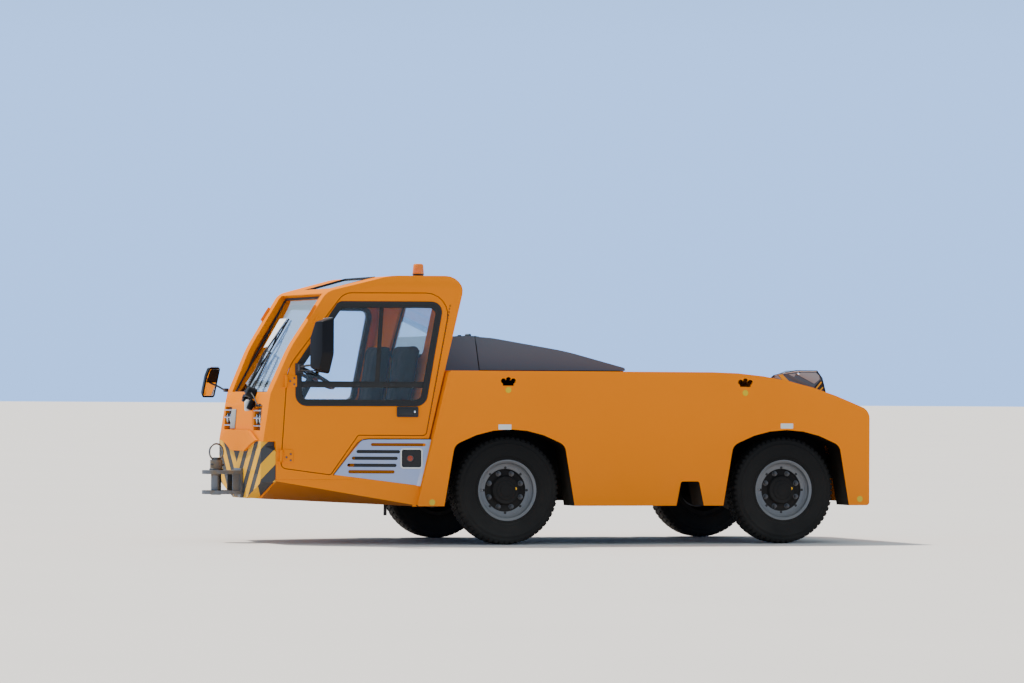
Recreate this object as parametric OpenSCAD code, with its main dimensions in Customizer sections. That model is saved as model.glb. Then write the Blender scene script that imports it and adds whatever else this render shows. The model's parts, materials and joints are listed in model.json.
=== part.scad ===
// Aircraft pushback tractor with a low cab ahead of the front wheels.
// Millimetres. +X is forwards, +Y is the left side, +Z is up, and Z = 0 is the ground.

/* [Wheels and axles] */
// Distance between the axles
wheelbase = 2280; // [2150:10:2400]
// Front axle ahead of the origin
front_axle_x = 410; // [380:5:440]
// Distance between the middles of the left and right tyres
track_w = 1800; // [1780:5:1810]
// Outside diameter of a tyre
tyre_d = 840; // [800:5:860]
// Width of a tyre
tyre_w = 236; // [200:2:240]
// Bead seat diameter of a rim
rim_d = 444.5; // [430:0.5:455]
// Bolt circle of a rim
stud_pcd = 275; // [255:5:285]
// Steering pivot inboard of the middle of the tyre
kingpin_offset = 135; // [130:1:140]
// Height of an axle beam
beam_h = 110; // [80:5:120]

/* [Body] */
// Width over the side panels
body_w = 2140; // [2100:10:2300]
// Top of the side panels above the ground
deck_z = 1340; // [1320:5:1360]
// Bottom edge of the side panels above the ground
sill_z = 300; // [290:5:330]
// Rear end behind the rear axle
rear_overhang = 700; // [680:10:760]
// Thickness of a side plate
side_t = 24; // [12:1:30]
// Thickness of deck, returns and rear panel
sheet_t = 12; // [8:1:16]
// Depth of the returns around a side panel
return_d = 240; // [200:5:250]
// Radius of the long bend in the rear of the deck
tail_r = 3080; // [2600:20:3200]
// Fall of the tail behind that bend, in degrees
tail_fall = 23.5; // [20:0.5:24]
// Half width of a wheel arch at the sill
arch_foot = 527; // [520:1:540]
// Half width of a wheel arch at its corners
arch_shoulder = 447; // [440:1:460]
// Height of the arch corners
arch_corner_z = 765; // [755:5:780]
// Top of a wheel arch
arch_top_z = 890; // [880:5:910]

/* [Hood] */
// Half width of the engine hood
hood_half = 600; // [540:10:640]
// Top of the hood at the cab
hood_z = 1608; // [1560:4:1620]
// Split between the fixed part and the lid
hood_split_x = 548; // [520:4:570]
// Rear tip of the lid
hood_tip_x = -690; // [-760:10:-640]

/* [Cab] */
// Half width of the cab side at its reference point
cab_half = 1020; // [1000:5:1030]
// Angle by which each cab side closes in towards the front
cab_taper = 16.3; // [15.5:0.1:16.8]
// Angle by which each cab side leans in towards the roof
cab_lean = 4.5; // [3.5:0.1:5.5]
// Thickness of cab walls and doors
wall_t = 45; // [35:1:50]
// Top of the roof
roof_z = 2068; // [2050:2:2090]
// Floor in front of the seats
floor_z = 500; // [490:5:520]
// Top of the platform that carries the seats
riser_z = 800; // [780:5:820]
// Gap around a door
door_gap = 6; // [5:1:8]
// Thickness of the window panes
glass_t = 6; // [5:1:8]

/* [Hitches] */
// Diameter of the front coupling pin
pin_d = 80; // [60:2:84]
// Clear height between the front coupling plates
jaw_h = 126; // [100:2:130]
// Height of the middle of the front coupling
jaw_z = 466; // [455:1:475]
// Diameter of the rear coupling bore
rear_bore_d = 52; // [40:2:60]

/* [Hidden] */

orange = [0.93, 0.53, 0.06];
dark_grey = [0.22, 0.23, 0.25];
steel_grey = [0.45, 0.46, 0.47];
black = [0.07, 0.07, 0.08];
silver = [0.75, 0.76, 0.77];
pane_tint = [0.6, 0.7, 0.75, 0.4];

big = 4000;
arc_steps = 6;
fit_gap = 0.3;
face_gap = 0.5;
rear_axle_x = front_axle_x - wheelbase;
axle_z = tyre_d / 2;
wheel_y = track_w / 2;
side_y = body_w / 2;
tail_x = rear_axle_x - rear_overhang;

// Vector helpers
function unit(v) = v / norm(v);
function left_of(v) = [-v[1], v[0]];
function turn_angle(u, v) = atan2(u[0] * v[1] - u[1] * v[0], u * v);

// One corner of an outline: the point itself, or the arc that rounds it with radius r
function corner(a, b, c, r) =
    r == 0 ? [b] :
    let (u = unit(b - a), v = unit(c - b), turn = turn_angle(u, v), side = sign(turn))
    let (start = b - u * r * tan(abs(turn) / 2), middle = start + side * r * left_of(u))
    [for (k = [0:arc_steps])
        let (t = turn * k / arc_steps, d = start - middle)
        middle + [d[0] * cos(t) - d[1] * sin(t), d[0] * sin(t) + d[1] * cos(t)]];

// Anticlockwise rows of [across, up, corner radius] moved inwards by d
function moved(rows, d) =
    let (n = len(rows), p = [for (r = rows) [r[0], r[1]]])
    [for (i = [0:n - 1])
        let (u = unit(p[i] - p[(i + n - 1) % n]), v = unit(p[(i + 1) % n] - p[i]))
        let (q = p[i] + d * (left_of(u) + left_of(v)) / (1 + u * v))
        [q[0], q[1], rows[i][2] == 0 ? 0 : max(0, rows[i][2] - sign(turn_angle(u, v)) * d)]];

// The rounded outline of such rows, moved inwards by d
function outline(rows, d = 0) =
    let (n = len(rows), m = moved(rows, d), p = [for (r = m) [r[0], r[1]]])
    [for (i = [0:n - 1]) each corner(p[(i + n - 1) % n], p[i], p[(i + 1) % n], m[i][2])];

// A side outline in X and Z given width along Y, centred on y
module slab(points, y, w) {
    translate([0, y + w / 2, 0]) rotate([90, 0, 0]) linear_extrude(w) polygon(points);
}

// Everything on the side of the plane through p that its normal n points to
module beyond(p, n) {
    translate(p) rotate([0, acos(n[2] / norm(n)), atan2(n[1], n[0])])
        translate([-big, -big, 0]) cube([2 * big, 2 * big, big]);
}

// A round bar from a to b
module bar(a, b, r) {
    d = b - a;
    translate(a) rotate([0, acos(d[2] / norm(d)), atan2(d[1], d[0])]) cylinder(r = r, h = norm(d), $fn = 24);
}

// The left and the right copy
module both() {
    children();
    mirror([0, 1, 0]) children();
}

// Side outline of the body
cab_rake = 0.24;
panel_gap = 15;
body_rear_foot_r = 25;
function cab_rear_x(z) = 1168 - cab_rake * (z - sill_z);
function panel_front_x(z) = cab_rear_x(z) - panel_gap;
tail_bend_x = -1891;
tail_corner_z = deck_z - (tail_bend_x - tail_x) * tan(tail_fall);
arch_slope = 0.532;
arch_apex_z = arch_corner_z + arch_slope * arch_shoulder;
arch_half_turn = atan(arch_slope);
arch_r = (arch_apex_z - arch_top_z) / (1 / cos(arch_half_turn) - 1);
arch_corner_r = 80;

function arch_rows(x) = [
    [x - arch_foot, sill_z, 0],
    [x - arch_shoulder, arch_corner_z, arch_corner_r],
    [x, arch_apex_z, arch_r],
    [x + arch_shoulder, arch_corner_z, arch_corner_r],
    [x + arch_foot, sill_z, 0]
];

step_x = -1066;
step_rows = [
    [step_x - 115, sill_z, 0], [step_x - 75, 488, 20],
    [step_x + 75, 488, 20], [step_x + 112, sill_z, 0]
];

upper_rows = [
    [panel_front_x(deck_z), deck_z, 35],
    [tail_bend_x, deck_z, tail_r],
    [tail_x, tail_corner_z, 95]
];

panel_rows = concat(
    [[tail_x, sill_z, body_rear_foot_r]],
    arch_rows(rear_axle_x),
    step_rows,
    arch_rows(front_axle_x),
    [[panel_front_x(sill_z), sill_z, 10]],
    upper_rows
);

shell_rows = concat(
    [[tail_x, sill_z, body_rear_foot_r], [panel_front_x(sill_z), sill_z, 0]],
    upper_rows
);

// Lifting holes in the side plates
lift_z = 1258;
lift_x = [426, -1522];
module lifting_hole() {
    for (dx = [-40, 0, 40]) translate([dx, dx == 0 ? 14 : 4]) circle(r = 20);
    translate([-45, -32]) square([90, 40]);
}

module side_panel_shape() {
    difference() {
        slab(outline(panel_rows), side_y - (side_t + return_d) / 2, side_t + return_d);
        slab(outline(panel_rows, sheet_t), side_y - side_t - return_d, 2 * return_d);
        for (x = lift_x) translate([x, side_y + 10, lift_z]) rotate([90, 0, 0])
            linear_extrude(side_t + 20) lifting_hole();
    }
}

module side_panel_left() { color(orange) side_panel_shape(); }
module side_panel_right() { color(orange) mirror([0, 1, 0]) side_panel_shape(); }

// Deck and rear panel between the returns of the side panels
inner_half = side_y - side_t - return_d - face_gap - 1;
deck_end_z = 980;
hood_well_front = hood_split_x - 40;

module shell_band(low, high) {
    intersection() {
        difference() {
            slab(outline(shell_rows), 0, 2 * inner_half);
            slab(outline(shell_rows, sheet_t), 0, 2 * inner_half + 10);
        }
        translate([-big, -big, low]) cube([2 * big, 2 * big, high - low]);
    }
}

module deck() {
    color(orange) difference() {
        shell_band(deck_end_z, deck_z + 10);
        translate([hood_tip_x + 60, -hood_half + 40, deck_z - 60])
            cube([hood_well_front - hood_tip_x - 60, 2 * hood_half - 80, 100]);
        beyond([panel_front_x(deck_z) - 30, 0, deck_z], [1, 0, 0]);
    }
}

lamp_z = 880;
lamp_y = side_y - 430;
tail_lamp_w = 220;
tail_lamp_h = 100;
module rear_panel() {
    color(orange) difference() {
        shell_band(sill_z + 20, deck_end_z);
        beyond([0, 0, 0], [1, 0, 0]);
        both() translate([tail_x - 10, lamp_y - tail_lamp_w / 2, lamp_z - tail_lamp_h / 2])
            cube([40, tail_lamp_w, tail_lamp_h]);
        translate([tail_x - 10, -rear_plate_half - 5, rear_jaw_z - rear_jaw_h / 2 - rear_plate_t - 5])
            cube([40, 2 * rear_plate_half + 10, rear_jaw_h + 2 * rear_plate_t + hand_room]);
    }
}

// Striped hump over the left of the deck's tail
hump_rows = [
    [-2330, 1176, 0], [-2300, 1296, 0], [-2262, 1360, 30], [-2090, 1360, 160],
    [-1900, 1322, 30], [-1866, 1292, 0], [-1866, 1250, 0]
];
hump_side_y = 700;
hump_w = 460;
module rear_hump() {
    hump_y = hump_side_y - hump_w / 2;
    color(dark_grey) difference() {
        slab(outline([for (i = [len(hump_rows) - 1:-1:0]) hump_rows[i]]), hump_y, hump_w);
        slab(outline(shell_rows), hump_y, hump_w + 20);
    }
}

// Engine hood: a fixed front part and the lid behind it
hood_seat_z = deck_z + 8;
hood_slant = 38;
hood_wall = 12;
hood_front_rows = [
    [hood_split_x - hood_slant + 4, hood_seat_z - 8 + face_gap, 0],
    [cab_rear_x(hood_seat_z) - 20, hood_seat_z - 8 + face_gap, 0],
    [cab_rear_x(hood_z) - 20, hood_z, 0],
    [hood_split_x + 4, hood_z, 0]
];
// Lid outline with its open underside lowered by drop
function lid_rows(drop) = [
    [hood_tip_x, hood_seat_z - drop, 0], [hood_split_x - hood_slant - 3, hood_seat_z - drop, 0],
    [hood_split_x - 3, hood_z - 1, 0], [hood_split_x - 140, hood_z - 11, 600],
    [-200, 1498, 2500], [hood_tip_x, hood_seat_z + 22, 15]
];

// Hood hinges: a pin along Y held by two fixed knuckles, with the lid's knuckle between them
hood_hinge_ys = [-420, 420];
hood_pin_r = 6;
hood_knuckle_r = 11;
hood_hinge_z = hood_z + hood_knuckle_r;
module hood_knuckle(y, w, lead) {
    translate([hood_split_x, y - w / 2, hood_hinge_z]) {
        rotate([-90, 0, 0]) cylinder(r = hood_knuckle_r, h = w, $fn = 32);
        translate([lead > 0 ? 0 : lead, 0, -hood_knuckle_r - 2]) cube([abs(lead), w, 8]);
    }
}

module hood_front() {
    color(dark_grey) {
        difference() {
            slab(outline(hood_front_rows), 0, 2 * hood_half);
            slab(outline(hood_front_rows, hood_wall), 0, 2 * hood_half - 2 * hood_wall);
            translate([0, -hood_half + 60, deck_z - 20])
                cube([cab_rear_x(deck_z) - 100, 2 * hood_half - 120, 60]);
        }
        for (y = hood_hinge_ys) {
            translate([hood_split_x, y - 50, hood_hinge_z]) rotate([-90, 0, 0])
                cylinder(r = hood_pin_r, h = 100, $fn = 32);
            for (s = [-1, 1]) hood_knuckle(y + s * 40, 20, 50);
        }
    }
}

module hood_lid() {
    color(dark_grey) difference() {
        union() {
            difference() {
                slab(outline(lid_rows(0)), 0, 2 * hood_half);
                slab(outline(lid_rows(2 * hood_wall), hood_wall), 0, 2 * hood_half - 2 * hood_wall);
            }
            for (y = hood_hinge_ys) hood_knuckle(y, 59, -60);
        }
        translate([hood_split_x, -hood_half, hood_hinge_z]) rotate([-90, 0, 0])
            cylinder(r = hood_pin_r + fit_gap, h = 2 * hood_half, $fn = 32);
    }
}

// Frame of one cab side: u runs forwards along the side, v up along it, and 0 depth is its outer face
side_ref = [970, cab_half, 950];
function side_out(lean) = [sin(cab_taper) * cos(lean), cos(cab_taper) * cos(lean), sin(lean)];
side_normal = side_out(cab_lean);
side_up = [-sin(cab_taper) * sin(cab_lean), -cos(cab_taper) * sin(cab_lean), cos(cab_lean)];
module on_side() {
    translate(side_ref) rotate([cab_lean, 0, -cab_taper]) children();
}
// A 2-D shape in u and v given thickness from depth to depth + t, inwards
module side_plate(depth, t) {
    on_side() translate([0, -depth, 0]) rotate([90, 0, 0]) linear_extrude(t) children();
}

// The u at which a cab side ends at the cab's rear face
function side_rear_u(v) =
    (cab_rear_x(side_ref[2] + v * cos(cab_lean)) - side_ref[0] + v * sin(cab_lean) * sin(cab_taper))
    / cos(cab_taper);

// Cab outline seen from the side
nose_x = 2262;
cowl_z = 1150;
belly_front_z = 345;
cab_rows = [
    [cab_rear_x(sill_z), sill_z, 0], [nose_x - 7, belly_front_z, 0], [nose_x, 800, 0],
    [nose_x - 22, 1075, 0], [2206, cowl_z, 0], [2050, 1510, 900], [1775, 1943, 140],
    [1290, roof_z, 400], [cab_rear_x(roof_z), roof_z, 115]
];

// Corner between the front face and a cab side, and the bevel under each side
facet_a = [2240, 520, cowl_z];
facet_b = [2204, 645, cowl_z];
facet_c = [nose_x, 652, 800];
bevel_a = [2180, 686, 478];
bevel_b = [1124, 1026, sill_z];
bevel_c = [nose_x + 10, 200, belly_front_z];

// The crease above the doors, where a cab side leans in further
crease_v = 1035;
crease_turn = 17;
crease_at = side_ref + crease_v * side_up;
crease_normal = side_out(cab_lean + crease_turn);

module cab_form(d) {
    difference() {
        slab(outline(cab_rows, d), 0, big);
        both() beyond(side_ref - d * side_normal, side_normal);
        both() beyond(crease_at - d * crease_normal, crease_normal);
        both() beyond(facet_a - d * unit(cross(facet_b - facet_a, facet_c - facet_a)) * -1,
            -cross(facet_b - facet_a, facet_c - facet_a));
    }
}

// Where the cab's panels part
riser_x = 1570;
joint_z = 1130;
nose_rear_x = 2180;
bumper_rear_x = 2172;
bumper_top_z = 789;
module roof_zone() {
    slab([[600, roof_z - wall_t], [1290, roof_z - wall_t], [1742, 1904], [1800, 1960], [1600, 2400],
        [600, 2400]], 0, big);
}
module nose_zone() {
    slab([[nose_rear_x, bumper_top_z], [big, bumper_top_z], [big, cowl_z + 60], [2150, cowl_z + 60],
        [2120, joint_z], [nose_rear_x, joint_z]], 0, big);
}
module bumper_zone(g) {
    translate([bumper_rear_x - g, -big, 0]) cube([big, 2 * big, bumper_top_z]);
}
module base_zone() {
    slab([[600, 0], [big, 0], [big, floor_z], [riser_x + 40, floor_z], [riser_x, riser_z],
        [600, riser_z]], 0, big);
}

// Door, window and step panel outlines on a cab side: rows of [u, v, corner radius]
door_front_u = 1158;
door_rows = [
    [100, -107, 30], [618, -107, 20], [828, -412, 20], [1205, -362, 40], [door_front_u, 400, 300],
    [730, 983, 120], [-95, 985, 165]
];
window_rows = [
    [105, 120, 90], [1094, 117, 95], [1095, 420, 130], [770, 915, 60], [-30, 916, 90]
];
step_low_v = -492;
step_high_v = -135;
step_panel_rows = [
    [side_rear_u(step_low_v) + 8, step_low_v, 4], [801, -413, 4], [585, -141, 4],
    [side_rear_u(step_high_v) + 8, step_high_v, 4]
];
// Slots of the step panel: [low u, high u, v, height]
slots = [
    [100, 520, -181, 24], [296, 630, -235, 26], [313, 665, -286, 26], [322, 700, -340, 26],
    [337, 692, -390, 26]
];
step_hole_rows = [[128, -359, 30], [287, -359, 30], [287, -214, 30], [128, -214, 30]];
step_t = 5;
gasket_w = 42;

module door_hole(t) {
    side_plate(-20, t + 20) polygon(outline(door_rows, -door_gap));
}

module step_panel_hole() {
    side_plate(-20, 20 + step_t + face_gap) polygon(outline(step_panel_rows, -face_gap));
    side_plate(-20, 110) polygon(outline(step_panel_rows, 26));
}

// Hinges at the front edge of a door: [v of the middle]
hinge_vs = [303, -273];
hinge_u = 1204;
hinge_tilt = 3.5;
hinge_stand = 14;
hinge_pin_r = 6;
hinge_knuckle_r = 12;
hinge_len = 40;
hinge_leaf_w = 75;
hinge_lug_h = 7;
hinge_lug_gap = 8;
// The hinge line's own frame, with its axis up
module on_hinge(v) {
    on_side() translate([hinge_u, hinge_stand, -273]) rotate([0, -hinge_tilt, 0])
        translate([0, 0, v + 273]) children();
}
module hinge_fixed(v) {
    on_hinge(v) {
        translate([0, 0, -hinge_len - hinge_lug_gap])
            cylinder(r = hinge_pin_r, h = 2 * (hinge_len + hinge_lug_gap), $fn = 32);
        for (z = [-hinge_len - hinge_lug_gap, hinge_len]) translate([0, 0, z]) {
            cylinder(r = hinge_knuckle_r, h = hinge_lug_h, $fn = 32);
            translate([0, -hinge_stand - 4, 0]) cube([30, hinge_stand + 4, hinge_lug_h]);
        }
    }
}
module hinge_moving(v) {
    on_hinge(v) difference() {
        union() {
            translate([0, 0, -hinge_len + 1]) cylinder(r = hinge_knuckle_r, h = 2 * hinge_len - 2, $fn = 32);
            translate([-hinge_leaf_w, -hinge_stand - 2, -hinge_len + 1])
                cube([hinge_leaf_w - hinge_knuckle_r, 7, 2 * hinge_len - 2]);
            translate([-2 * hinge_knuckle_r, 1 - hinge_stand, -hinge_len + 1])
                cube([2 * hinge_knuckle_r, 6, 2 * hinge_len - 2]);
        }
        translate([0, 0, -big / 2]) cylinder(r = hinge_pin_r + fit_gap, h = big, $fn = 32);
    }
}

// Windscreen opening: half widths at the cowl and at the roof
screen_low = [2180, cowl_z + 7];
screen_high = [1744, 1909];
screen_half_low = 510;
screen_half_high = 585;
screen_dir = unit(screen_high - screen_low);
screen_len = norm(screen_high - screen_low);
module on_screen() {
    translate([screen_low[0], 0, screen_low[1]])
        rotate([0, atan2(screen_dir[0], screen_dir[1]), 0]) children();
}
module screen_plate(x, t, low, high, h0, h1) {
    on_screen() translate([x, 0, 0]) rotate([90, 0, 90]) linear_extrude(t)
        polygon([[-low, h0], [low, h0], [high, h1], [-high, h1]]);
}

module screen_hole() {
    screen_plate(-200, 600, screen_half_low, screen_half_high, 0, screen_len);
}
module screen_pane() {
    screen_plate(-glass_t - 4, glass_t, screen_half_low - face_gap, screen_half_high - face_gap,
        face_gap, screen_len - face_gap);
}

rear_window_rows = [[-470, 1440, 60], [470, 1440, 60], [430, 1880, 60], [-430, 1880, 60]];
module rear_window_prism(x0, x1, d) {
    translate([x0, 0, 0]) rotate([90, 0, 90]) linear_extrude(x1 - x0)
        polygon(outline(rear_window_rows, d));
}

// Frame of the roof slope with the skylight
slope_low = [1662, 1968];
slope_high = [1306, 2065];
skylight_low = 361;
skylight_high = 416;
module on_slope() {
    translate([slope_low[0], 0, slope_low[1]])
        rotate([0, -90 + atan2(slope_high[1] - slope_low[1], slope_low[0] - slope_high[0]), 0]) children();
}
slope_len = norm(slope_high - slope_low);
module skylight_plate(x, t, g) {
    on_slope() translate([x, 0, 0]) rotate([90, 0, 90]) linear_extrude(t)
        polygon([[-skylight_low + g, g], [skylight_low - g, g], [skylight_high - g, slope_len - g],
            [-skylight_high + g, slope_len - g]]);
}

module cab_base() {
    color(orange) difference() {
        intersection() {
            cab_form(0);
            base_zone();
        }
        bumper_zone(face_gap);
        both() beyond(bevel_a, cross(bevel_c - bevel_a, bevel_b - bevel_a));
        both() door_hole(wall_t + 3);
        both() step_panel_hole();
    }
}

module cab_frame() {
    color(orange) {
        difference() {
            cab_form(0);
            cab_form(wall_t);
            roof_zone();
            nose_zone();
            base_zone();
            bumper_zone(face_gap);
            both() door_hole(wall_t + 60);
            both() step_panel_hole();
            screen_hole();
            rear_window_prism(600, 1100, 0);
        }
        both() for (v = hinge_vs) hinge_fixed(v);
    }
}

head_lamp_y = 437;
head_lamp_z = 872;
head_lamp_w = 190;
head_lamp_h = 176;
head_lamp_d = 30;
head_lamp_back = 8;
// The block of a head lamp, grown by g
module head_lamp_block(g) {
    e = face_gap - g;
    translate([nose_x - wall_t - head_lamp_back - g, head_lamp_y - head_lamp_w / 2 + e, head_lamp_z + e])
        cube([head_lamp_d + 2 * g, head_lamp_w - 2 * e, head_lamp_h - 2 * e]);
}
module cab_nose() {
    color(orange) difference() {
        intersection() {
            difference() {
                cab_form(0);
                cab_form(wall_t);
            }
            nose_zone();
        }
        screen_hole();
        both() door_hole(wall_t + 60);
        both() translate([nose_x - 90, head_lamp_y - head_lamp_w / 2, head_lamp_z])
            cube([130, head_lamp_w, head_lamp_h]);
    }
}

module cab_roof() {
    color(orange) difference() {
        intersection() {
            cab_form(0);
            roof_zone();
        }
        screen_hole();
        skylight_plate(-100, 200, 0);
    }
}

module cab_glass() {
    color(pane_tint) {
        screen_pane();
        skylight_plate(-12, glass_t, face_gap);
        intersection() {
            rear_window_prism(600, 1100, face_gap);
            difference() {
                cab_form(18);
                cab_form(18 + glass_t);
            }
        }
    }
}

handle_rows = [[158, 32, 12], [321, 32, 12], [321, 109, 12], [158, 109, 12]];
handle_stand = 8;
module door_shape() {
    side_plate(0, wall_t) difference() {
        polygon(outline(door_rows));
        polygon(outline(window_rows));
    }
    side_plate(-handle_stand, handle_stand + 1) polygon(outline(handle_rows));
    for (v = hinge_vs) hinge_moving(v);
}
module door_left() { color(orange) door_shape(); }
module door_right() { color(orange) mirror([0, 1, 0]) door_shape(); }

module door_glass_shape() {
    side_plate(8, 24) difference() {
        polygon(outline(window_rows, face_gap));
        polygon(outline(window_rows, gasket_w));
    }
    side_plate(17, glass_t) polygon(outline(window_rows, gasket_w - 5));
}
module door_glass_left() { color(pane_tint) door_glass_shape(); }
module door_glass_right() { color(pane_tint) mirror([0, 1, 0]) door_glass_shape(); }

module step_panel_shape() {
    side_plate(0, step_t) difference() {
        polygon(outline(step_panel_rows));
        for (s = slots) {
            translate([s[0] + s[3] / 2, s[2] - s[3] / 2]) square([s[1] - s[0] - s[3], s[3]]);
            for (u = [s[0] + s[3] / 2, s[1] - s[3] / 2]) translate([u, s[2]]) circle(d = s[3], $fn = 24);
        }
        polygon(outline(step_hole_rows));
    }
}
module step_panels() { color(silver) both() step_panel_shape(); }

// Cab inside
seat_y = 380;
module seat_shape() {
    slab(outline([[1120, riser_z + face_gap, 20], [1560, riser_z + face_gap, 20], [1590, 950, 60],
        [1120, 970, 40]]), seat_y, 480);
    slab(outline([[1100, 880, 10], [1205, 880, 20], [1080, 1560, 40], [975, 1560, 40]]), seat_y, 460);
}
module seats() { color(black) both() seat_shape(); }

dash_rows = [
    [2040, 820, 20], [2300, 820, 0], [2300, 1120, 0], [2120, 1120, 0], [1990, 1060, 40]
];
dash_half = 530;
module dashboard() {
    color(dark_grey) difference() {
        intersection() {
            cab_form(wall_t + fit_gap);
            slab(outline(dash_rows), 0, 2 * dash_half);
        }
        both() head_lamp_block(1);
    }
}

// Steering wheel on a column that ends at the dashboard
wheel_hub = [1800, seat_y, 1290];
column_rake = 28;
module steering_wheel() {
    color(black) {
        translate(wheel_hub) rotate([0, -column_rake, 0]) {
            rotate_extrude($fn = 64) translate([185, 0]) circle(r = 14, $fn = 16);
            cylinder(r = 50, h = 30, center = true, $fn = 32);
            for (a = [0, 120, 240]) rotate([0, 0, a]) translate([0, -14, -6]) cube([180, 28, 12]);
        }
        difference() {
            translate(wheel_hub) rotate([0, -column_rake, 0])
                translate([0, 0, -500]) cylinder(r = 30, h = 500, $fn = 32);
            slab(outline(dash_rows, -face_gap), 0, 2 * dash_half);
        }
    }
}

// Mirrors: the left one stands on the door, the right one on the cab corner
mirror_u = door_front_u - 87;
mirror_v = 402;
mirror_foot_l = 60;
mirror_arm_r = 10;
mirror_left_size = [90, 215, 430];
mirror_left_turn = 38.7;
mirror_right_size = [50, 130, 255];
mirror_right_turn = [0, -18, -67.6];

// A mirror housing of [depth, width, height] around the middle of its glass, which looks along -X
module mirror_head(size) {
    d = size[0];
    w = size[1] / 2;
    h = size[2] / 2;
    plan_rows = [
        [0, -w, 5], [0.5 * d, -w, 25], [d, -0.6 * w, 25], [d, 0.6 * w, 25], [0.5 * d, w, 25], [0, w, 5]
    ];
    side_rows = [
        [0, -h, 5], [0.6 * d, -h, 25], [d, -0.8 * h, 25], [d, 0.8 * h, 25], [0.6 * d, h, 25], [0, h, 5]
    ];
    intersection() {
        translate([0, 0, -h]) linear_extrude(2 * h) polygon(outline(plan_rows));
        slab(outline(side_rows), 0, 3 * w);
    }
}
module mirror_left() {
    foot = [mirror_u, mirror_foot_l, mirror_v];
    head = [mirror_u - 201, 189, mirror_v + 152];
    color(black) on_side() {
        translate([mirror_u, fit_gap, mirror_v]) rotate([-90, 0, 0])
            cylinder(r = 32, h = 14, $fn = 32);
        bar([mirror_u, 1, mirror_v], foot, mirror_arm_r);
        bar(foot - [0, mirror_arm_r, 0], head + [20, 20, -mirror_left_size[2] / 4], mirror_arm_r);
        translate(head) rotate([0, 0, mirror_left_turn]) mirror_head(mirror_left_size);
    }
}
module mirror_right() {
    foot = [nose_x - 57, -676, cowl_z + 30];
    head = [nose_x + 4, -900, cowl_z + 89];
    color(black) {
        translate(foot) cube([30, 60, 30], center = true);
        bar(foot, head + [10, -15, 0], mirror_arm_r);
        translate(head) rotate(mirror_right_turn) mirror_head(mirror_right_size);
    }
}

// Wiper motor on the cowl, and two parallel arms that carry one blade along the windscreen
cowl_low = [nose_x - 22, 1075];
cowl_high = [2206, cowl_z];
motor_y = 90;
wiper_ys = [60, 140];
wiper_turn = 14;
wiper_foot_z = -45;
wiper_arm_l = 440;
wiper_arm_r = 7;
wiper_stand = 20;
blade_from = 60;
blade_l = 620;
module on_cowl() {
    run = cowl_high - cowl_low;
    translate([cowl_low[0], 0, cowl_low[1]]) rotate([0, atan2(run[0], run[1]), 0]) children();
}
module wiper() {
    color(black) difference() {
        wiper_shape();
        intersection() {
            cab_form(-face_gap);
            translate([0, -big / 2, 0]) cube([big, big, cowl_z + 25]);
        }
    }
}
module wiper_shape() {
    lean = [0, -sin(wiper_turn), cos(wiper_turn)];
    feet = [for (y = wiper_ys) [wiper_stand, y, wiper_foot_z]];
    on_cowl() translate([fit_gap, motor_y, norm(cowl_high - cowl_low) / 2]) rotate([0, 90, 0])
        cylinder(r = 42, h = 70, $fn = 32);
    on_cowl() for (y = wiper_ys) translate([fit_gap, y - 12, 50]) cube([34, 24, 45]);
    on_screen() {
        for (foot = feet) bar(foot, foot + (wiper_arm_l + 15) * lean, wiper_arm_r);
        bar(feet[0] + wiper_arm_l * lean, feet[1] + wiper_arm_l * lean, wiper_arm_r - 1);
        translate(feet[0] + blade_from * lean + [-14, 0, 0]) rotate([wiper_turn, 0, 0])
            translate([0, -5, 0]) cube([12, 10, blade_l]);
    }
}

// Head lamps behind guard bars in the nose, and tail lamps in the rear panel
lamp_bar_r = 7.5;
lamp_bars = [34, 94, 152];
module lamps() {
    color(silver) both() {
        head_lamp_block(0);
        for (h = lamp_bars) translate([nose_x - 10, head_lamp_y, head_lamp_z + h]) rotate([90, 0, 0])
            cylinder(r = lamp_bar_r, h = head_lamp_w - 2 * fit_gap, center = true, $fn = 16);
        translate([tail_x + 3, lamp_y - tail_lamp_w / 2 + face_gap, lamp_z - tail_lamp_h / 2 + face_gap])
            cube([60, tail_lamp_w - 2 * face_gap, tail_lamp_h - 2 * face_gap]);
    }
}

beacon_at = [900, 235, roof_z];
beacon_r = 47;
beacon_base_h = 24;
beacon_dome_h = 84;
module beacon() {
    color([0.95, 0.45, 0.05]) translate(beacon_at + [0, 0, face_gap]) {
        cylinder(r = beacon_r - 6, h = beacon_base_h, $fn = 48);
        translate([0, 0, beacon_base_h])
            cylinder(r1 = beacon_r, r2 = beacon_r - 7, h = beacon_dome_h, $fn = 48);
    }
}

// Front weight with its raised plate
bumper_face_x = 2272;
bumper_rows = [
    [-200, belly_front_z], [200, belly_front_z], [610, 470], [655, 478], [705, 478], [705, 700],
    [640, 752], [640, 789], [-640, 789], [-640, 752], [-705, 700], [-705, 478], [-655, 478], [-610, 470]
];
bumper_plan = [
    [bumper_rear_x, -688], [2180, -686], [bumper_face_x, -620], [bumper_face_x, 620], [2180, 686],
    [bumper_rear_x, 688]
];
plate_rows = [
    [-194, 711], [194, 711], [340, 757], [526, 797], [300, 871], [-300, 871], [-526, 797], [-340, 757]
];
plate_stand = 20;
module bumper() {
    color([0.9, 0.75, 0.2]) {
        intersection() {
            translate([2100, 0, 0]) rotate([90, 0, 90]) linear_extrude(400) polygon(bumper_rows);
            linear_extrude(1000) polygon(bumper_plan);
        }
        translate([bumper_face_x - 2, 0, 0]) rotate([90, 0, 90]) linear_extrude(plate_stand + 2)
            polygon(plate_rows);
    }
}

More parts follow.
